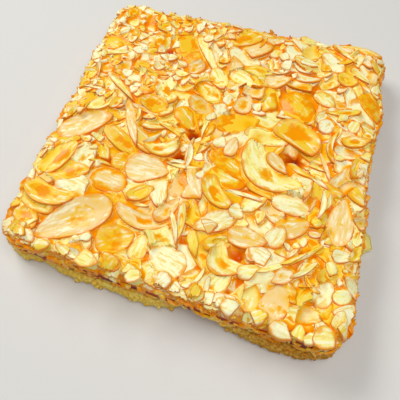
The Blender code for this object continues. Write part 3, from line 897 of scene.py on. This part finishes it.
class Relief:
    """The top of the slab on a fine grid: the uppermost almond, and the caramel round it."""

    def __init__(self, loop):
        self.tick_x = np.arange(*FINE_X, FINE)
        self.tick_y = np.arange(*FINE_Y, FINE)
        self.x, self.y = np.meshgrid(self.tick_x, self.tick_y, indexing="ij")
        self.outside = grid_distance(loop, self.x, self.y)
        self.bare = shoulder_height(self.outside)
        self.top = self.bare.copy()
        for x, y, radius in PITS:
            away = np.hypot(self.x - x, self.y - y)
            self.top -= PIT_DEPTH * np.exp(-((away / radius) ** 2))
        self.edge = np.zeros_like(self.top)
        self.tone = np.tile(srgb(TONES["amber"]), (*self.top.shape, 1))

    def window(self, flake):
        """The part of the grid round an almond."""
        reach = FARTHEST * flake.length + 1
        i = np.searchsorted(self.tick_x, (flake.x - reach, flake.x + reach))
        j = np.searchsorted(self.tick_y, (flake.y - reach, flake.y + reach))
        return slice(*i), slice(*j)

    def add(self, piece):
        """Drapes a slice a little over what lies below, then raises the relief to its top."""
        window = self.window(piece.flake)
        x, y, top = self.x[window], self.y[window], self.top[window]
        edge, a, b = piece.shares(x, y)
        covered = edge >= 0
        if covered.sum() < FEWEST_CELLS:
            return
        gap = (top - piece.flake.height(x, y))[covered]
        fa, fb = a[covered], b[covered]
        terms = np.stack([np.ones(len(gap)), fa * fa, fa * fb, fb * fb], axis=1)
        fit = np.linalg.lstsq(terms, gap, rcond=None)[0]
        piece.drape = np.clip(DRAPING * fit[1:], -MOST_DRAPE, MOST_DRAPE)
        self.top[window] = np.where(covered, piece.upper(x, y, edge, a, b), top)
        self.edge[window] = np.where(covered, edge, self.edge[window])
        self.tone[window] = np.where(covered[..., None], piece.tone, self.tone[window])

    def pour(self, ceiling):
        """Lets the caramel stand between the almonds, and here and there over their lower parts."""
        self.top = under_ceiling(self.top, ceiling)
        ripple = smooth_noise(self.x.shape, CARAMEL_WAVE_SIZE, RIPPLE_SEED)
        chips = blur(chopped(self.x, self.y).astype(float), LEVEL_SPREAD)
        still = blur(self.top, MENISCUS) - CARAMEL_DEPTH
        self.caramel = still + CARAMEL_WAVE * ripple + CHOPPED_RISE * chips
        self.level = blur(self.top, LEVEL_SPREAD)

    def at(self, grid, x, y):
        """The grid's value at places of the plan, between its points too."""
        i = np.clip((x - self.tick_x[0]) / FINE, 0, len(self.tick_x) - 1.001)
        j = np.clip((y - self.tick_y[0]) / FINE, 0, len(self.tick_y) - 1.001)
        i0, j0 = i.astype(int), j.astype(int)
        u, v = i - i0, j - j0
        low = grid[i0, j0] * (1 - v) + grid[i0, j0 + 1] * v
        high = grid[i0 + 1, j0] * (1 - v) + grid[i0 + 1, j0 + 1] * v
        return low * (1 - u) + high * u


def blur(grid, spread):
    """The grid smoothed by a bell curve of this spread in millimetres."""
    pad = int(4 * spread / FINE) + 1
    padded = np.pad(grid, pad, mode="edge")
    fx = np.fft.fftfreq(padded.shape[0])[:, None]
    fy = np.fft.rfftfreq(padded.shape[1])[None]
    passed = np.exp(-2 * (math.pi * spread / FINE) ** 2 * (fx**2 + fy**2))
    return np.fft.irfft2(np.fft.rfft2(padded) * passed, s=padded.shape)[pad:-pad, pad:-pad]


def smooth_noise(shape, spread, seed):
    """Seeded noise on the fine grid, from about -1 to 1, with lumps of this size."""
    rough = np.random.default_rng(seed).standard_normal(shape)
    soft = blur(rough, spread / 2)
    return np.clip(soft / (2 * soft.std()), -1.5, 1.5)


def smoothstep(low, high, value):
    """From 0 to 1 as a value goes from low to high, gently at both ends."""
    share = np.clip((value - low) / (high - low), 0, 1)
    return share * share * (3 - 2 * share)


# ---- meshes ----


def placed(name, data):
    """A new object of the scene, with this mesh, camera or light."""
    obj = bpy.data.objects.new(name, data)
    bpy.context.scene.collection.objects.link(obj)
    return obj


def taken_from(bm):
    """The points and faces of a bmesh, which is freed."""
    bm.verts.index_update()
    verts = np.array([vert.co[:] for vert in bm.verts])
    faces = [[vert.index for vert in face.verts] for face in bm.faces]
    bm.free()
    return verts, faces


def join(parts):
    """Many small meshes as one: their points, and their faces renumbered."""
    verts, faces, start = [], [], 0
    for points, sides in parts:
        verts.append(points)
        faces += [[start + k for k in face] for face in sides]
        start += len(points)
    return np.vstack(verts), faces


def mesh_piece(name, verts, faces, material, slot, stands_for, **attributes):
    """A smooth mesh of millimetre points that rides on the slab, with each attribute's value at each."""
    mesh = bpy.data.meshes.new(name)
    mesh.from_pydata(np.asarray(verts) * MM, [], faces)
    for key, values in attributes.items():
        values = np.asarray(values, dtype=np.float32)
        if values.ndim == 2:
            layer = mesh.attributes.new(key, "FLOAT_COLOR", "POINT")
            layer.data.foreach_set("color", np.hstack([values, np.ones((len(values), 1))]).ravel())
        else:
            layer = mesh.attributes.new(key, "FLOAT", "POINT")
            layer.data.foreach_set("value", values)
    mesh.materials.append(material)
    mesh.shade_smooth()
    piece = placed(name, mesh)
    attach(piece, "root")
    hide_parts(stands_for)
    return piece


def sunk_under(points, above):
    """A piece's points, let down where the pieces that were laid later lie on it."""
    for other in above:
        edge, a, b = other.shares(points[:, 0], points[:, 1])
        under = other.middle(points[:, 0], points[:, 1], a, b) - UNDER_GAP
        points[:, 2] = np.where((edge > UNDER_EDGE) & (points[:, 2] > under), under, points[:, 2])
    return points


def lying_on(stack):
    """For each piece of the stack, the later ones that overlap it."""
    places = np.array([(piece.flake.x, piece.flake.y) for piece in stack])
    reach = np.array([NEIGHBOUR_SHARE * piece.flake.length for piece in stack])
    above = {}
    for k, piece in enumerate(stack):
        away = np.hypot(*(places[k + 1 :] - places[k]).T)
        close = np.nonzero(away < reach[k + 1 :] + reach[k])[0]
        above[id(piece)] = [stack[k + 1 + n] for n in close]
    return above


def under_ceiling(height, ceiling):
    """Heights near the highest that the solids reach, pressed together so that none goes far past it."""
    free = ceiling - CEILING_ROOM
    over = np.maximum(height - free, 0)
    pressed = CEILING_GIVE * CEILING_ROOM * (1 - np.exp(-over / CEILING_ROOM))
    return np.minimum(height, free) + pressed


def almond_piece(name, slices, above, relief, ceiling, material, loop=None):
    """All the slices of one kind, as one mesh, and with a loop those that were cut through along it."""
    parts, edges, tones, lays, smalls, pools, shaded_sides = [], [], [], [], [], [], []
    for piece in slices:
        points, sides, edge, lay = piece.surface()
        pool = POOLING * piece.cup * (np.minimum(edge / piece.mean_radius, 1) - 0.5)
        pools.append(pool + GLAZING * (GLAZED_BLUE - piece.tone[2]))
        smalls.append(np.full(len(points), max(1 - piece.mean_radius / SMALL_RADIUS, 0)))
        # Where each point lies toward the almond's side away from the lights, for the painted shade of its
        # rim.
        shaded_sides.append((points[:, :2] - (piece.flake.x, piece.flake.y)) @ SHADED_SIDE / piece.mean_radius)
        parts.append((sunk_under(points, above.get(id(piece), ())), sides))
        edges.append(edge)
        lays.append(lay)
        tones.append(np.tile(piece.tone, (len(points), 1)))
    verts, faces = join(parts)
    verts[:, 2] += GRAIN_HEIGHT * np.array([noise.noise(Vector(p) / GRAIN_SIZE) for p in verts])
    verts[:, 2] = under_ceiling(verts[:, 2], ceiling)
    x, y, z = verts.T
    caramel = relief.at(relief.caramel, x, y)
    attributes = {
        "tone": np.vstack(tones),
        "edge": np.concatenate(edges),
        "small": np.concatenate(smalls),
        "shaded_side": np.concatenate(shaded_sides),
        "lay": np.vstack(lays),
        "film": caramel - z + np.concatenate(pools),
        "depth": relief.at(relief.level, x, y) - z,
    }
    if loop is not None:
        attributes["edge"] = np.full(len(verts), CUT_EDGE)
        attributes["film"] = np.full(len(verts), CUT_FILM)
        insets, heights = zip(*LAYER_SHOULDER)
        outside = signed_distance(loop, verts[:, :2])
        proud = outside + np.interp(z, heights, insets)
        # Painted shade: the further a cut almond lies behind the edge at its height, the darker it is
        # painted.
        attributes["depth"] = np.minimum(CUT_DEPTH - SIDE_SHADE * proud, MOST_CUT_DEPTH)
        highest = np.where(outside < -CUT_MARGIN, caramel - CUT_COVER, ceiling)
        verts[:, 2] = np.clip(z, LAYER_BOTTOM - CUT_HANG, highest)
    piece = mesh_piece(name, verts, faces, material, *LAYER, **attributes)
    piece.data.set_sharp_from_angle(angle=math.radians(SHARP_ANGLE))
    return piece


def caramel_piece(loop, relief, material):
    """The caramel: a fine grid over the slab that follows the shoulder, and the cut sides below it."""
    insets, heights = (np.array(column) for column in zip(*LAYER_SHOULDER))
    arc = np.concatenate([[0], np.cumsum(np.hypot(np.diff(insets), np.diff(heights)))])
    inset = np.clip(-relief.outside, 0, None)
    walked = np.clip(inset / insets[-1], 0, 1) * arc[-1]
    moved = np.where(inset < insets[-1], np.interp(walked, arc, insets), inset)
    slope_x, slope_y = np.gradient(relief.outside, FINE)
    size = np.maximum(np.hypot(slope_x, slope_y), 1e-6)
    step = -moved - relief.outside
    x = relief.x + slope_x / size * step
    y = relief.y + slope_y / size * step
    bare = np.where(inset < insets[-1], np.interp(walked, arc, heights), LAYER_TOP)
    rise = relief.at(relief.caramel - relief.bare, x, y) * smoothstep(0, RISE_WIDTH, moved)
    z = bare + rise
    within = relief.outside < 0
    cell = within[:-1, :-1] | within[1:, :-1] | within[:-1, 1:] | within[1:, 1:]
    index = np.arange(x.size).reshape(x.shape)
    quads = np.stack([index[:-1, :-1], index[1:, :-1], index[1:, 1:], index[:-1, 1:]], axis=-1)[cell]
    used, quads = np.unique(quads, return_inverse=True)
    verts = np.stack([x.ravel()[used], y.ravel()[used], z.ravel()[used]], axis=1)
    verts, faces = add_side(verts, quads.reshape(-1, 4))
    x, y, z = verts.T
    at_side = z < LAYER_SHOULDER[0][1]
    proud = signed_distance(loop, verts[:, :2])
    thick = np.where(at_side, SIDE_THICK, z - relief.at(relief.top, x, y))
    # Painted shade: the further a place of the cut side lies behind the edge, the darker red-brown it is
    # painted.
    side_depth = np.minimum(SIDE_DEPTH - SIDE_SHADE * proud, MOST_SIDE_DEPTH)
    depth = np.where(at_side, side_depth, relief.at(relief.level, x, y) - z)
    tone = np.stack([relief.at(relief.tone[..., k], x, y) for k in range(3)], axis=1)
    attributes = {"thick": thick, "depth": depth, "edge": relief.at(relief.edge, x, y), "tone": tone}
    return mesh_piece("caramel", verts, faces, material, *LAYER, **attributes)


def add_side(verts, quads):
    """Draws the open edge of the top down to the layer's bottom, uneven as it was cut, and closes it."""
    bm = bmesh.new()
    points = [bm.verts.new(p) for p in verts]
    for quad in quads.tolist():
        bm.faces.new([points[k] for k in quad])
    edges = [edge for edge in bm.edges if edge.is_boundary]
    top = LAYER_SHOULDER[0][1]
    for step in range(1, SIDE_STEPS + 1):
        made = bmesh.ops.extrude_edge_only(bm, edges=edges)["geom"]
        edges = [item for item in made if isinstance(item, bmesh.types.BMEdge)]
        ring = [item for item in made if isinstance(item, bmesh.types.BMVert)]
        height = top + (LAYER_BOTTOM - top) * step / SIDE_STEPS
        for vert in ring:
            x, y, _ = vert.co
            crag = noise.noise(Vector((x / CRAG_LENGTH, y / CRAG_LENGTH, height / CRAG_HEIGHT)))
            fine = noise.noise(Vector((x, y, height)) / FINE_CRAG_SIZE)
            push = CRAG * crag + FINE_CRAG * fine - CRAG_OFFSET
            shift = vert.co.to_2d().normalized() * push * min(step / 2, 1)
            vert.co = Vector((x + shift.x, y + shift.y, height))
    bmesh.ops.holes_fill(bm, edges=edges, sides=0)
    bmesh.ops.recalc_face_normals(bm, faces=bm.faces)
    return taken_from(bm)


def crumbly_push(x, y, z):
    """How far the shortbread's broken side stands out at a point."""
    place = Vector((x, y, z))
    lumps = sum(share * noise.noise(place / size) for share, size in CRUMBLY_WAVES)
    from_pebble = noise.voronoi(place / PEBBLE_SIZE)[0][0]
    return lumps + PEBBLE_HEIGHT * (0.5 - from_pebble)


def shortbread_piece(loop, material):
    """The base: a flat slab whose broken sides are crumbly all the way up."""
    rim = even_points(smooth_loop(loop), BASE_COLUMNS)
    normals = outward(rim)
    insets, heights = (np.array(column) for column in zip(*BASE_RINGS))
    rings = []
    for row in range(BASE_ROWS):
        z = BASE_TOP * row / (BASE_ROWS - 1)
        inset = np.interp(z, heights, insets)
        fade = smoothstep(0, 0.4, z) * smoothstep(0, 0.3, BASE_TOP - z)
        share = EVEN_SHARE + (1 - EVEN_SHARE) * fade
        push = np.array([share * crumbly_push(x, y, z) for x, y in rim])
        plan = rim + normals * (push - inset)[:, None]
        rings.append(np.column_stack([plan, np.full(len(plan), z)]))
    under = [ring_inward(rings[0], share) for share in UNDER_RINGS]
    over = [ring_inward(rings[-1], share) for share in TOP_RINGS]
    rings = under + rings + over
    verts = np.vstack(rings + [rings[0].mean(0)[None], rings[-1].mean(0)[None]])
    faces = [list(reversed(face)) for face in ring_faces(BASE_COLUMNS, len(rings))]
    return mesh_piece("shortbread", verts, faces, material, *BASE)


def ring_inward(ring, share):
    """The ring drawn in to this share of its size, at the same height."""
    middle = ring.mean(0)
    return np.column_stack([middle[:2] + (ring[:, :2] - middle[:2]) * share, ring[:, 2]])


def smooth_loop(loop):
    """The loop with its corners between points rounded, by a closed curve through them."""
    a, b, c, d = (np.roll(loop, shift, axis=0)[:, None] for shift in (1, 0, -1, -2))
    t = np.linspace(0, 1, 4, endpoint=False)[:, None]
    curve = 2 * b + (c - a) * t + (2 * a - 5 * b + 4 * c - d) * t**2 + (3 * b - a - 3 * c + d) * t**3
    return curve.reshape(-1, 2) / 2


def lump(centre, size, rng):
    """A small crumb: a rough ball of these sizes."""
    bm = bmesh.new()
    bmesh.ops.create_icosphere(bm, subdivisions=2, radius=0.5)
    phase = rng.uniform(0, 100)
    turn = Matrix.Rotation(rng.uniform(0, 2 * math.pi), 3, "Z")
    for vert in bm.verts:
        out = 1 + CRUMB_ROUGH * noise.noise(vert.co * CRUMB_PACE + Vector((phase, 0, 0)))
        vert.co = turn @ Vector([c * s * out for c, s in zip(vert.co, size)]) + Vector(centre)
    return taken_from(bm)


def crumbs_piece(loop, material):
    """Crumbs that cling to the base's sides, and the chip that stands out at the right."""
    rng = random.Random(CRUMB_SEED)
    rim = even_points(loop, CRUMB_PLACES)
    normals = outward(rim)
    parts = []
    for _ in range(CRUMBS):
        k = rng.randrange(len(rim))
        size = rng.uniform(*CRUMB_SIZES)
        x, y = rim[k] - normals[k] * rng.uniform(*CRUMB_INSET)
        z = rng.uniform(size / 2, BASE_TOP - CRUMB_HEADROOM)
        sizes = [size * rng.uniform(*CRUMB_STRETCH) for _ in range(3)]
        parts.append(lump((x, y, z), sizes, rng))
    parts.append(lump(CHIP_CENTRE, CHIP_SIZE, random.Random(CHIP_SEED)))
    verts, faces = join(parts)
    verts[:, 2] = np.maximum(verts[:, 2], CRUMB_FLOOR)
    return mesh_piece("crumbs", verts, faces, material, *BASE)


# ---- materials ----


class Nodes:
    """Short names for building one material's node tree."""

    def __init__(self, name):
        self.material = bpy.data.materials.new(name)
        self.material.use_nodes = True
        self.tree = self.material.node_tree
        self.shader = self.tree.nodes["Principled BSDF"]
        self.body = None

    def link(self, value, socket):
        """Puts a number or another node's output into a socket."""
        if isinstance(value, bpy.types.NodeSocket):
            self.tree.links.new(value, socket)
        else:
            socket.default_value = value

    def add(self, kind, output=0, settings=None, **inputs):
        """A new node's output."""
        node = self.tree.nodes.new(kind)
        for key, value in (settings or {}).items():
            setattr(node, key, value)
        for key, value in inputs.items():
            self.link(value, node.inputs[key.replace("_", " ")])
        return node.outputs[output]

    def attribute(self, name, output="Fac"):
        return self.add("ShaderNodeAttribute", output, {"attribute_name": name})

    def math(self, operation, a, b):
        node = self.tree.nodes.new("ShaderNodeMath")
        node.operation = operation
        self.link(a, node.inputs[0])
        self.link(b, node.inputs[1])
        return node.outputs[0]

    def ramp(self, value, low, high, to_low=0.0, to_high=1.0):
        """From to_low to to_high as a value goes from low to high."""
        node = self.tree.nodes.new("ShaderNodeMapRange")
        node.interpolation_type = "SMOOTHSTEP"
        for socket, number in zip(node.inputs[:5], (value, low, high, to_low, to_high)):
            self.link(number, socket)
        return node.outputs[0]

    def mix(self, share, a, b):
        """A colour between two others, each an output or an sRGB colour of 0 to 255."""
        node = self.tree.nodes.new("ShaderNodeMix")
        node.data_type = "RGBA"
        self.link(share, node.inputs[0])
        for value, socket in ((a, node.inputs[6]), (b, node.inputs[7])):
            self.link(value if isinstance(value, bpy.types.NodeSocket) else (*srgb(value), 1), socket)
        return node.outputs[2]

    def paint(self, colour, value, low, high, least=0.0, most=1.0):
        """Lays a colour over the body's, from least to most as a value goes from low to high."""
        self.body = self.mix(self.ramp(value, low, high, least, most), self.body, colour)

    def place(self):
        """The point in millimetres."""
        node = self.tree.nodes.new("ShaderNodeVectorMath")
        node.operation = "SCALE"
        self.link(self.add("ShaderNodeTexCoord", "Object"), node.inputs[0])
        node.inputs["Scale"].default_value = 1 / MM
        return node.outputs[0]

    def noise(self, size, detail=3.0, rough=0.55, place=None, stretch=(1.0, 1.0, 1.0)):
        """Noise whose lumps are about this many millimetres across, or longer where stretched."""
        node = self.tree.nodes.new("ShaderNodeVectorMath")
        node.operation = "MULTIPLY"
        self.link(place or self.place(), node.inputs[0])
        node.inputs[1].default_value = [1 / size / s for s in stretch]
        fixed = {"Scale": 1.0, "Detail": detail, "Roughness": rough}
        return self.add("ShaderNodeTexNoise", "Fac", Vector=node.outputs[0], **fixed)

    def varied(self, value, wave, amount):
        """A value that is moved up and down by a noise."""
        return self.math("ADD", value, self.math("MULTIPLY", self.math("SUBTRACT", wave, 0.5), amount))

    def bump(self, height, distance, strength, below=None):
        """A normal bent by a height of this many millimetres, on top of the bump below."""
        node = self.tree.nodes.new("ShaderNodeBump")
        node.inputs["Distance"].default_value = distance * MM
        node.inputs["Strength"].default_value = strength
        self.link(height, node.inputs["Height"])
        if below:
            self.link(below, node.inputs["Normal"])
        return node.outputs[0]

    def finish(self, roughness, normal, **fixed):
        """The material, with the body's colour and these values on its shader."""
        self.link(self.body, self.shader.inputs["Base Color"])
        self.link(roughness, self.shader.inputs["Roughness"])
        self.link(normal, self.shader.inputs["Normal"])
        for key, value in fixed.items():
            self.shader.inputs[key.replace("_", " ")].default_value = value
        return self.material


def almond_material():
    """Pale almond in streaks along its length, golden under thin caramel, orange at its edge, with painted
    shade: a darker, wider rim on the side away from the lights, and darker where it lies low.
    """
    m = Nodes("almond")
    streak = m.noise(0.9, 3.0, 0.6, m.attribute("lay", "Vector"), (5.0, 1.0, 1.0))
    fleck = m.noise(0.7, 2.0)
    patch = m.noise(3.0, 3.0)
    m.body = m.attribute("tone", "Color")
    m.paint((255, 252, 214), streak, 0.5, 0.62, most=0.75)
    m.paint((246, 204, 66), streak, 0.49, 0.37, most=0.7)
    m.paint((244, 196, 84), fleck, 0.56, 0.72, most=0.45)
    small = m.attribute("small")
    rim = m.varied(m.math("ADD", m.attribute("edge"), m.math("MULTIPLY", small, 2.5)), patch, 5.0)
    m.paint((243, 164, 8), rim, 1.4, -0.2, most=0.92)
    film = m.varied(m.attribute("film"), patch, 1.6)
    m.paint((246, 192, 16), film, -0.22, 0.0, most=0.85)
    m.paint((248, 154, 0), film, -0.06, 0.22)
    edge = m.varied(m.attribute("edge"), fleck, 0.3)
    # The orange line along the edge: partly caramel at the cut edge, partly painted shade, darker, redder
    # and wider on the side away from the lights.
    shaded_side = m.varied(m.attribute("shaded_side"), patch, 1.2)
    line = m.ramp(edge, m.ramp(shaded_side, -0.4, 0.9, 0.3, 0.85), 0.06)
    line = m.math("MULTIPLY", line, m.ramp(patch, 0.36, 0.6, 0.25, 0.95))
    line = m.math("MULTIPLY", line, m.ramp(small, 0.0, 1.0, 1.0, 0.6))
    m.body = m.mix(line, m.body, m.mix(m.ramp(shaded_side, -0.2, 0.7), (228, 142, 6), (238, 112, 0)))
    m.paint((240, 146, 8), m.attribute("edge"), 0.14, 0.0, most=0.75)
    # Painted shade, partly the thicker caramel over it: the lower an almond lies under the level round it,
    # the darker it is painted.
    m.paint((204, 100, 4), m.varied(m.attribute("depth"), patch, 0.8), 1.0, 2.8)
    normal = m.bump(streak, 0.12, 0.6, m.bump(fleck, 0.06, 0.5))
    gloss = m.ramp(film, -0.7, 0.0, 0.45, 0.2)
    return m.finish(gloss, normal, Specular_IOR_Level=0.15, Coat_Weight=0.1, Coat_Roughness=0.06)


def caramel_material():
    """Caramel: clear where it is a film on an almond, golden where thin, red-brown in a pit; the red-brown
    is partly the deeper caramel and partly painted shade.
    """
    m = Nodes("caramel")
    cloud = m.noise(2.2, 3.0)
    fleck = m.noise(0.7, 2.0)
    thick = m.varied(m.attribute("thick"), cloud, 0.3)
    m.body = m.attribute("tone", "Color")
    m.paint((248, 194, 20), thick, 0.0, 0.3, 0.1, 0.95)
    # An orange line in the caramel along each almond's edge, where the caramel is thin: partly the
    # caramel's colour there, partly painted contact shade.
    near = m.ramp(m.varied(m.attribute("edge"), fleck, 0.3), 0.5, 0.1)
    m.body = m.mix(m.math("MULTIPLY", near, m.ramp(thick, 0.5, 0.1, 0.0, 0.6)), m.body, (232, 118, 0))
    m.paint((248, 152, 0), thick, 0.15, 0.5)
    m.paint((240, 118, 0), thick, 0.45, 1.3)
    # Painted shade, partly the deeper caramel's own colour: the lower a place lies under the level round
    # it, the darker red-brown it is painted.
    depth = m.varied(m.attribute("depth"), cloud, 0.9)
    m.paint((210, 84, 0), depth, 0.7, 1.7)
    m.paint((128, 34, 0), depth, 1.5, 2.5)
    normal = m.bump(m.noise(1.3, 2.0), 0.12, 0.5)
    return m.finish(0.16, normal, Specular_IOR_Level=0.06, Coat_Weight=0.1, Coat_Roughness=0.04)


def shortbread_material():
    """Crumbly shortbread, browner towards its underside and the right, but painted pale at the chip, as
    painted light where the chip lies in the slab's shadow.
    """
    m = Nodes("shortbread")
    height = m.add("ShaderNodeSeparateXYZ", "Z", Vector=m.place())
    along = m.add("ShaderNodeSeparateXYZ", "X", Vector=m.place())
    grain = m.noise(0.9, 4.0, 0.65)
    patch = m.noise(3.5, 3.0)
    m.body = m.mix(m.ramp(grain, 0.38, 0.62), (234, 184, 58), (255, 236, 124))
    m.paint((240, 192, 60), patch, 0.42, 0.66, most=0.6)
    m.paint((208, 142, 34), m.varied(height, patch, 2.5), 1.6, 0.2)
    # Darker towards the right.
    darker_right = m.ramp(m.varied(along, patch, 30.0), -5.0, 40.0, 0.0, 0.8)
    darker_right = m.math("MULTIPLY", darker_right, m.ramp(along, *CHIP_FADE, 1.0, 0.0))
    m.body = m.mix(darker_right, m.body, m.mix(m.ramp(grain, 0.4, 0.6), (172, 92, 6), (214, 154, 38)))
    # Painted light: the chip, which lies in the slab's shadow, is painted pale.
    m.paint((255, 238, 136), along, *CHIP_FADE, most=0.85)
    normal = m.bump(grain, 0.3, 0.8)
    return m.finish(0.85, normal, Specular_IOR_Level=0.25)


# ---- the studio ----


def pointed_at(obj, place, target, roll=0.0):
    """Puts an object at a place and turns its -Z axis to a target, all in millimetres."""
    place, target = Vector(place) * MM, Vector(target) * MM
    turn = (target - place).to_track_quat("-Z", "Y").to_matrix().to_4x4()
    obj.matrix_world = Matrix.Translation(place) @ turn @ Matrix.Rotation(math.radians(roll), 4, "Z")


def add_camera():
    """The camera, at the photograph's viewing angle."""
    camera = bpy.data.cameras.new("camera")
    camera.lens = LENS
    camera.sensor_width = 36.0
    camera.clip_start = 0.01
    obj = placed("camera", camera)
    pointed_at(obj, CAMERA_AT, CAMERA_TO, CAMERA_ROLL)
    bpy.context.scene.camera = obj


def add_light(name, place, size, colour):
    """A soft light of this size at a place, turned to the slab, in millimetres."""
    light = bpy.data.lights.new(name, "AREA")
    light.shape = "RECTANGLE"
    light.size, light.size_y = (s * MM for s in size)
    light.energy = LIGHT_POWER
    light.color = colour
    pointed_at(placed(name, light), place, LIT_PLACE)


def add_studio():
    """Soft plain light from two large lights and the sky, and a pale floor."""
    scene = bpy.context.scene
    scene.view_settings.view_transform = "Standard"
    world = bpy.data.worlds.new("studio")
    world.use_nodes = True
    background = world.node_tree.nodes["Background"]
    background.inputs["Color"].default_value = (1.0, 0.99, 0.96, 1)
    background.inputs["Strength"].default_value = SKY_STRENGTH
    scene.world = world
    add_light("window", (-430, 260, 520), (420, 260), (1.0, 1.0, 0.97))
    add_light("overhead", (160, -140, 640), (560, 460), (1.0, 1.0, 0.98))

    floor = bpy.data.meshes.new("floor")
    half = FLOOR_SIZE / 2
    corners = [(-half, -half, 0), (half, -half, 0), (half, half, 0), (-half, half, 0)]
    floor.from_pydata(corners, [], [(0, 1, 2, 3)])
    material = bpy.data.materials.new("floor")
    material.use_nodes = True
    shader = material.node_tree.nodes["Principled BSDF"]
    shader.inputs["Base Color"].default_value = (0.72, 0.71, 0.69, 1)
    shader.inputs["Roughness"].default_value = 0.7
    floor.materials.append(material)
    obj = placed("floor", floor)
    obj.location.z = -FLOOR_GAP


# ---- everything ----


def varied_tone(name, rng):
    """An almond's colour in linear light, a little different from the next one's."""
    shift = rng.gauss(0, TONE_SPREAD)
    parts = [c + shift * (1 + BLUER_SPREAD * k) for k, c in enumerate(TONES[name])]
    return srgb([min(255, max(0, c)) for c in parts])


def shaped(rows, kind, rng):
    """The true forms of flakes of one kind, given with their tones' names."""
    return [Slice(flake, varied_tone(tone, rng), kind, rng) for flake, tone in rows]


def drawn(flakes, kind, rng):
    """The true forms of flakes of one kind, in tones that are drawn for them."""
    weights = NIB_TONE_WEIGHTS if kind is NIB else TONE_WEIGHTS
    return shaped(zip(flakes, rng.choices(list(TONES), weights, k=len(flakes))), kind, rng)


def lay_rows(rows, bed, rng, thickness=FLAKE_THICKNESS, steepest=MOST_SLOPE):
    """Lays the almonds of a table of places, and gives each with its tone's name."""
    laid = []
    for x, y, yaw, length, width, tone in rows:
        leaning = rng.gauss(0, LAID_TILT), rng.gauss(0, LAID_TILT)
        flake = Flake(x, y, math.radians(yaw), length, width, thickness=thickness)
        bed.lay(flake, leaning, steepest=steepest)
        laid.append((flake, tone))
    return laid


def lay_almonds(loop):
    """Every almond piece, laid and shaped: slices, bits, nibs, and those cut through at the sides."""
    bed = Bed(loop)
    rng = random.Random(SEED)
    lay_bed(bed, loop, rng)
    loose = list(bed.flakes)
    under = copy.deepcopy(bed)
    laid = lay_rows(LAID, bed, rng)

    rng = random.Random(SCENE_SEED)
    filling = drawn(scattered(FILLER, bed, loop, (), rng, under), FILLER, rng)
    extras = lay_rows(EXTRAS, bed, rng)
    kept = range(len(loose), len(bed.flakes))
    whole = drawn(loose, LOOSE, rng) + filling
    chosen = shaped(laid, CHOSEN, rng)
    for piece in chosen:
        if (piece.flake.x, piece.flake.y) in CURLS:
            piece.curl(*CURLS[piece.flake.x, piece.flake.y])
    bits = shaped(extras, LOOSE, rng)
    for kind in (FRAGMENT, SLIVER, EDGE_BIT):
        bits += drawn(scattered(kind, bed, loop, kept, rng), kind, rng)
    nibs = []
    for kind in (NIB, NEAR_BIT):
        nibs += drawn(scattered(kind, bed, loop, kept, rng), kind, rng)
    last_rng = random.Random(HANGING_SEED)
    hanging = lay_rows(RIM_BITS, bed, last_rng, RIM_THICKNESS, RIM_STEEPEST)
    hanging = shaped(hanging + lay_rows(TOPMOST, bed, last_rng), EDGE_BIT, rng)
    cut = []
    for kind in (CUT_SLICE, CUT_NIB):
        cut += drawn(side_pieces(kind, loop, rng), kind, rng)

    groups = whole + chosen, bits, nibs, cut
    whole, bits, nibs, cut = ([piece for piece in group if piece.trim(loop)] for group in groups)
    return whole, bits, nibs + hanging, cut


def build(ceiling):
    """Makes every piece, with none of the top's higher than the ceiling by more than a little."""
    loop = uneven_loop(LAYER_DENTS, LAYER_PHASE)
    whole, bits, nibs, cut = lay_almonds(loop)
    stack = whole + bits + nibs
    relief = Relief(loop)
    for piece in stack:
        relief.add(piece)
    relief.pour(ceiling)

    almond = almond_material()
    above = lying_on(stack)
    for name, slices in (("almond_slices", whole), ("almond_bits", bits), ("almond_nibs", nibs)):
        almond_piece(name, slices, above, relief, ceiling, almond)
    almond_piece("side_almonds", cut, {}, relief, ceiling, almond, loop)
    caramel_piece(loop, relief, caramel_material())
    base_loop = uneven_loop(BASE_DENTS + BASE_SPILL, BASE_PHASE)
    shortbread = shortbread_material()
    shortbread_piece(base_loop, shortbread)
    crumbs_piece(base_loop, shortbread)


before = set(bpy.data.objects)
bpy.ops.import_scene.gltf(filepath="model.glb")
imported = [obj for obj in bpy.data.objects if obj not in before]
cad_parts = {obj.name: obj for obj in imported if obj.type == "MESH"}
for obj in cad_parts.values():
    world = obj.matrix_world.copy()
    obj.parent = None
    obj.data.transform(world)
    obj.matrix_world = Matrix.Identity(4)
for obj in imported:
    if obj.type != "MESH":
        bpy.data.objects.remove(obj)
cad_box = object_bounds()
add_camera()
add_studio()
build(cad_box[1].z / MM)
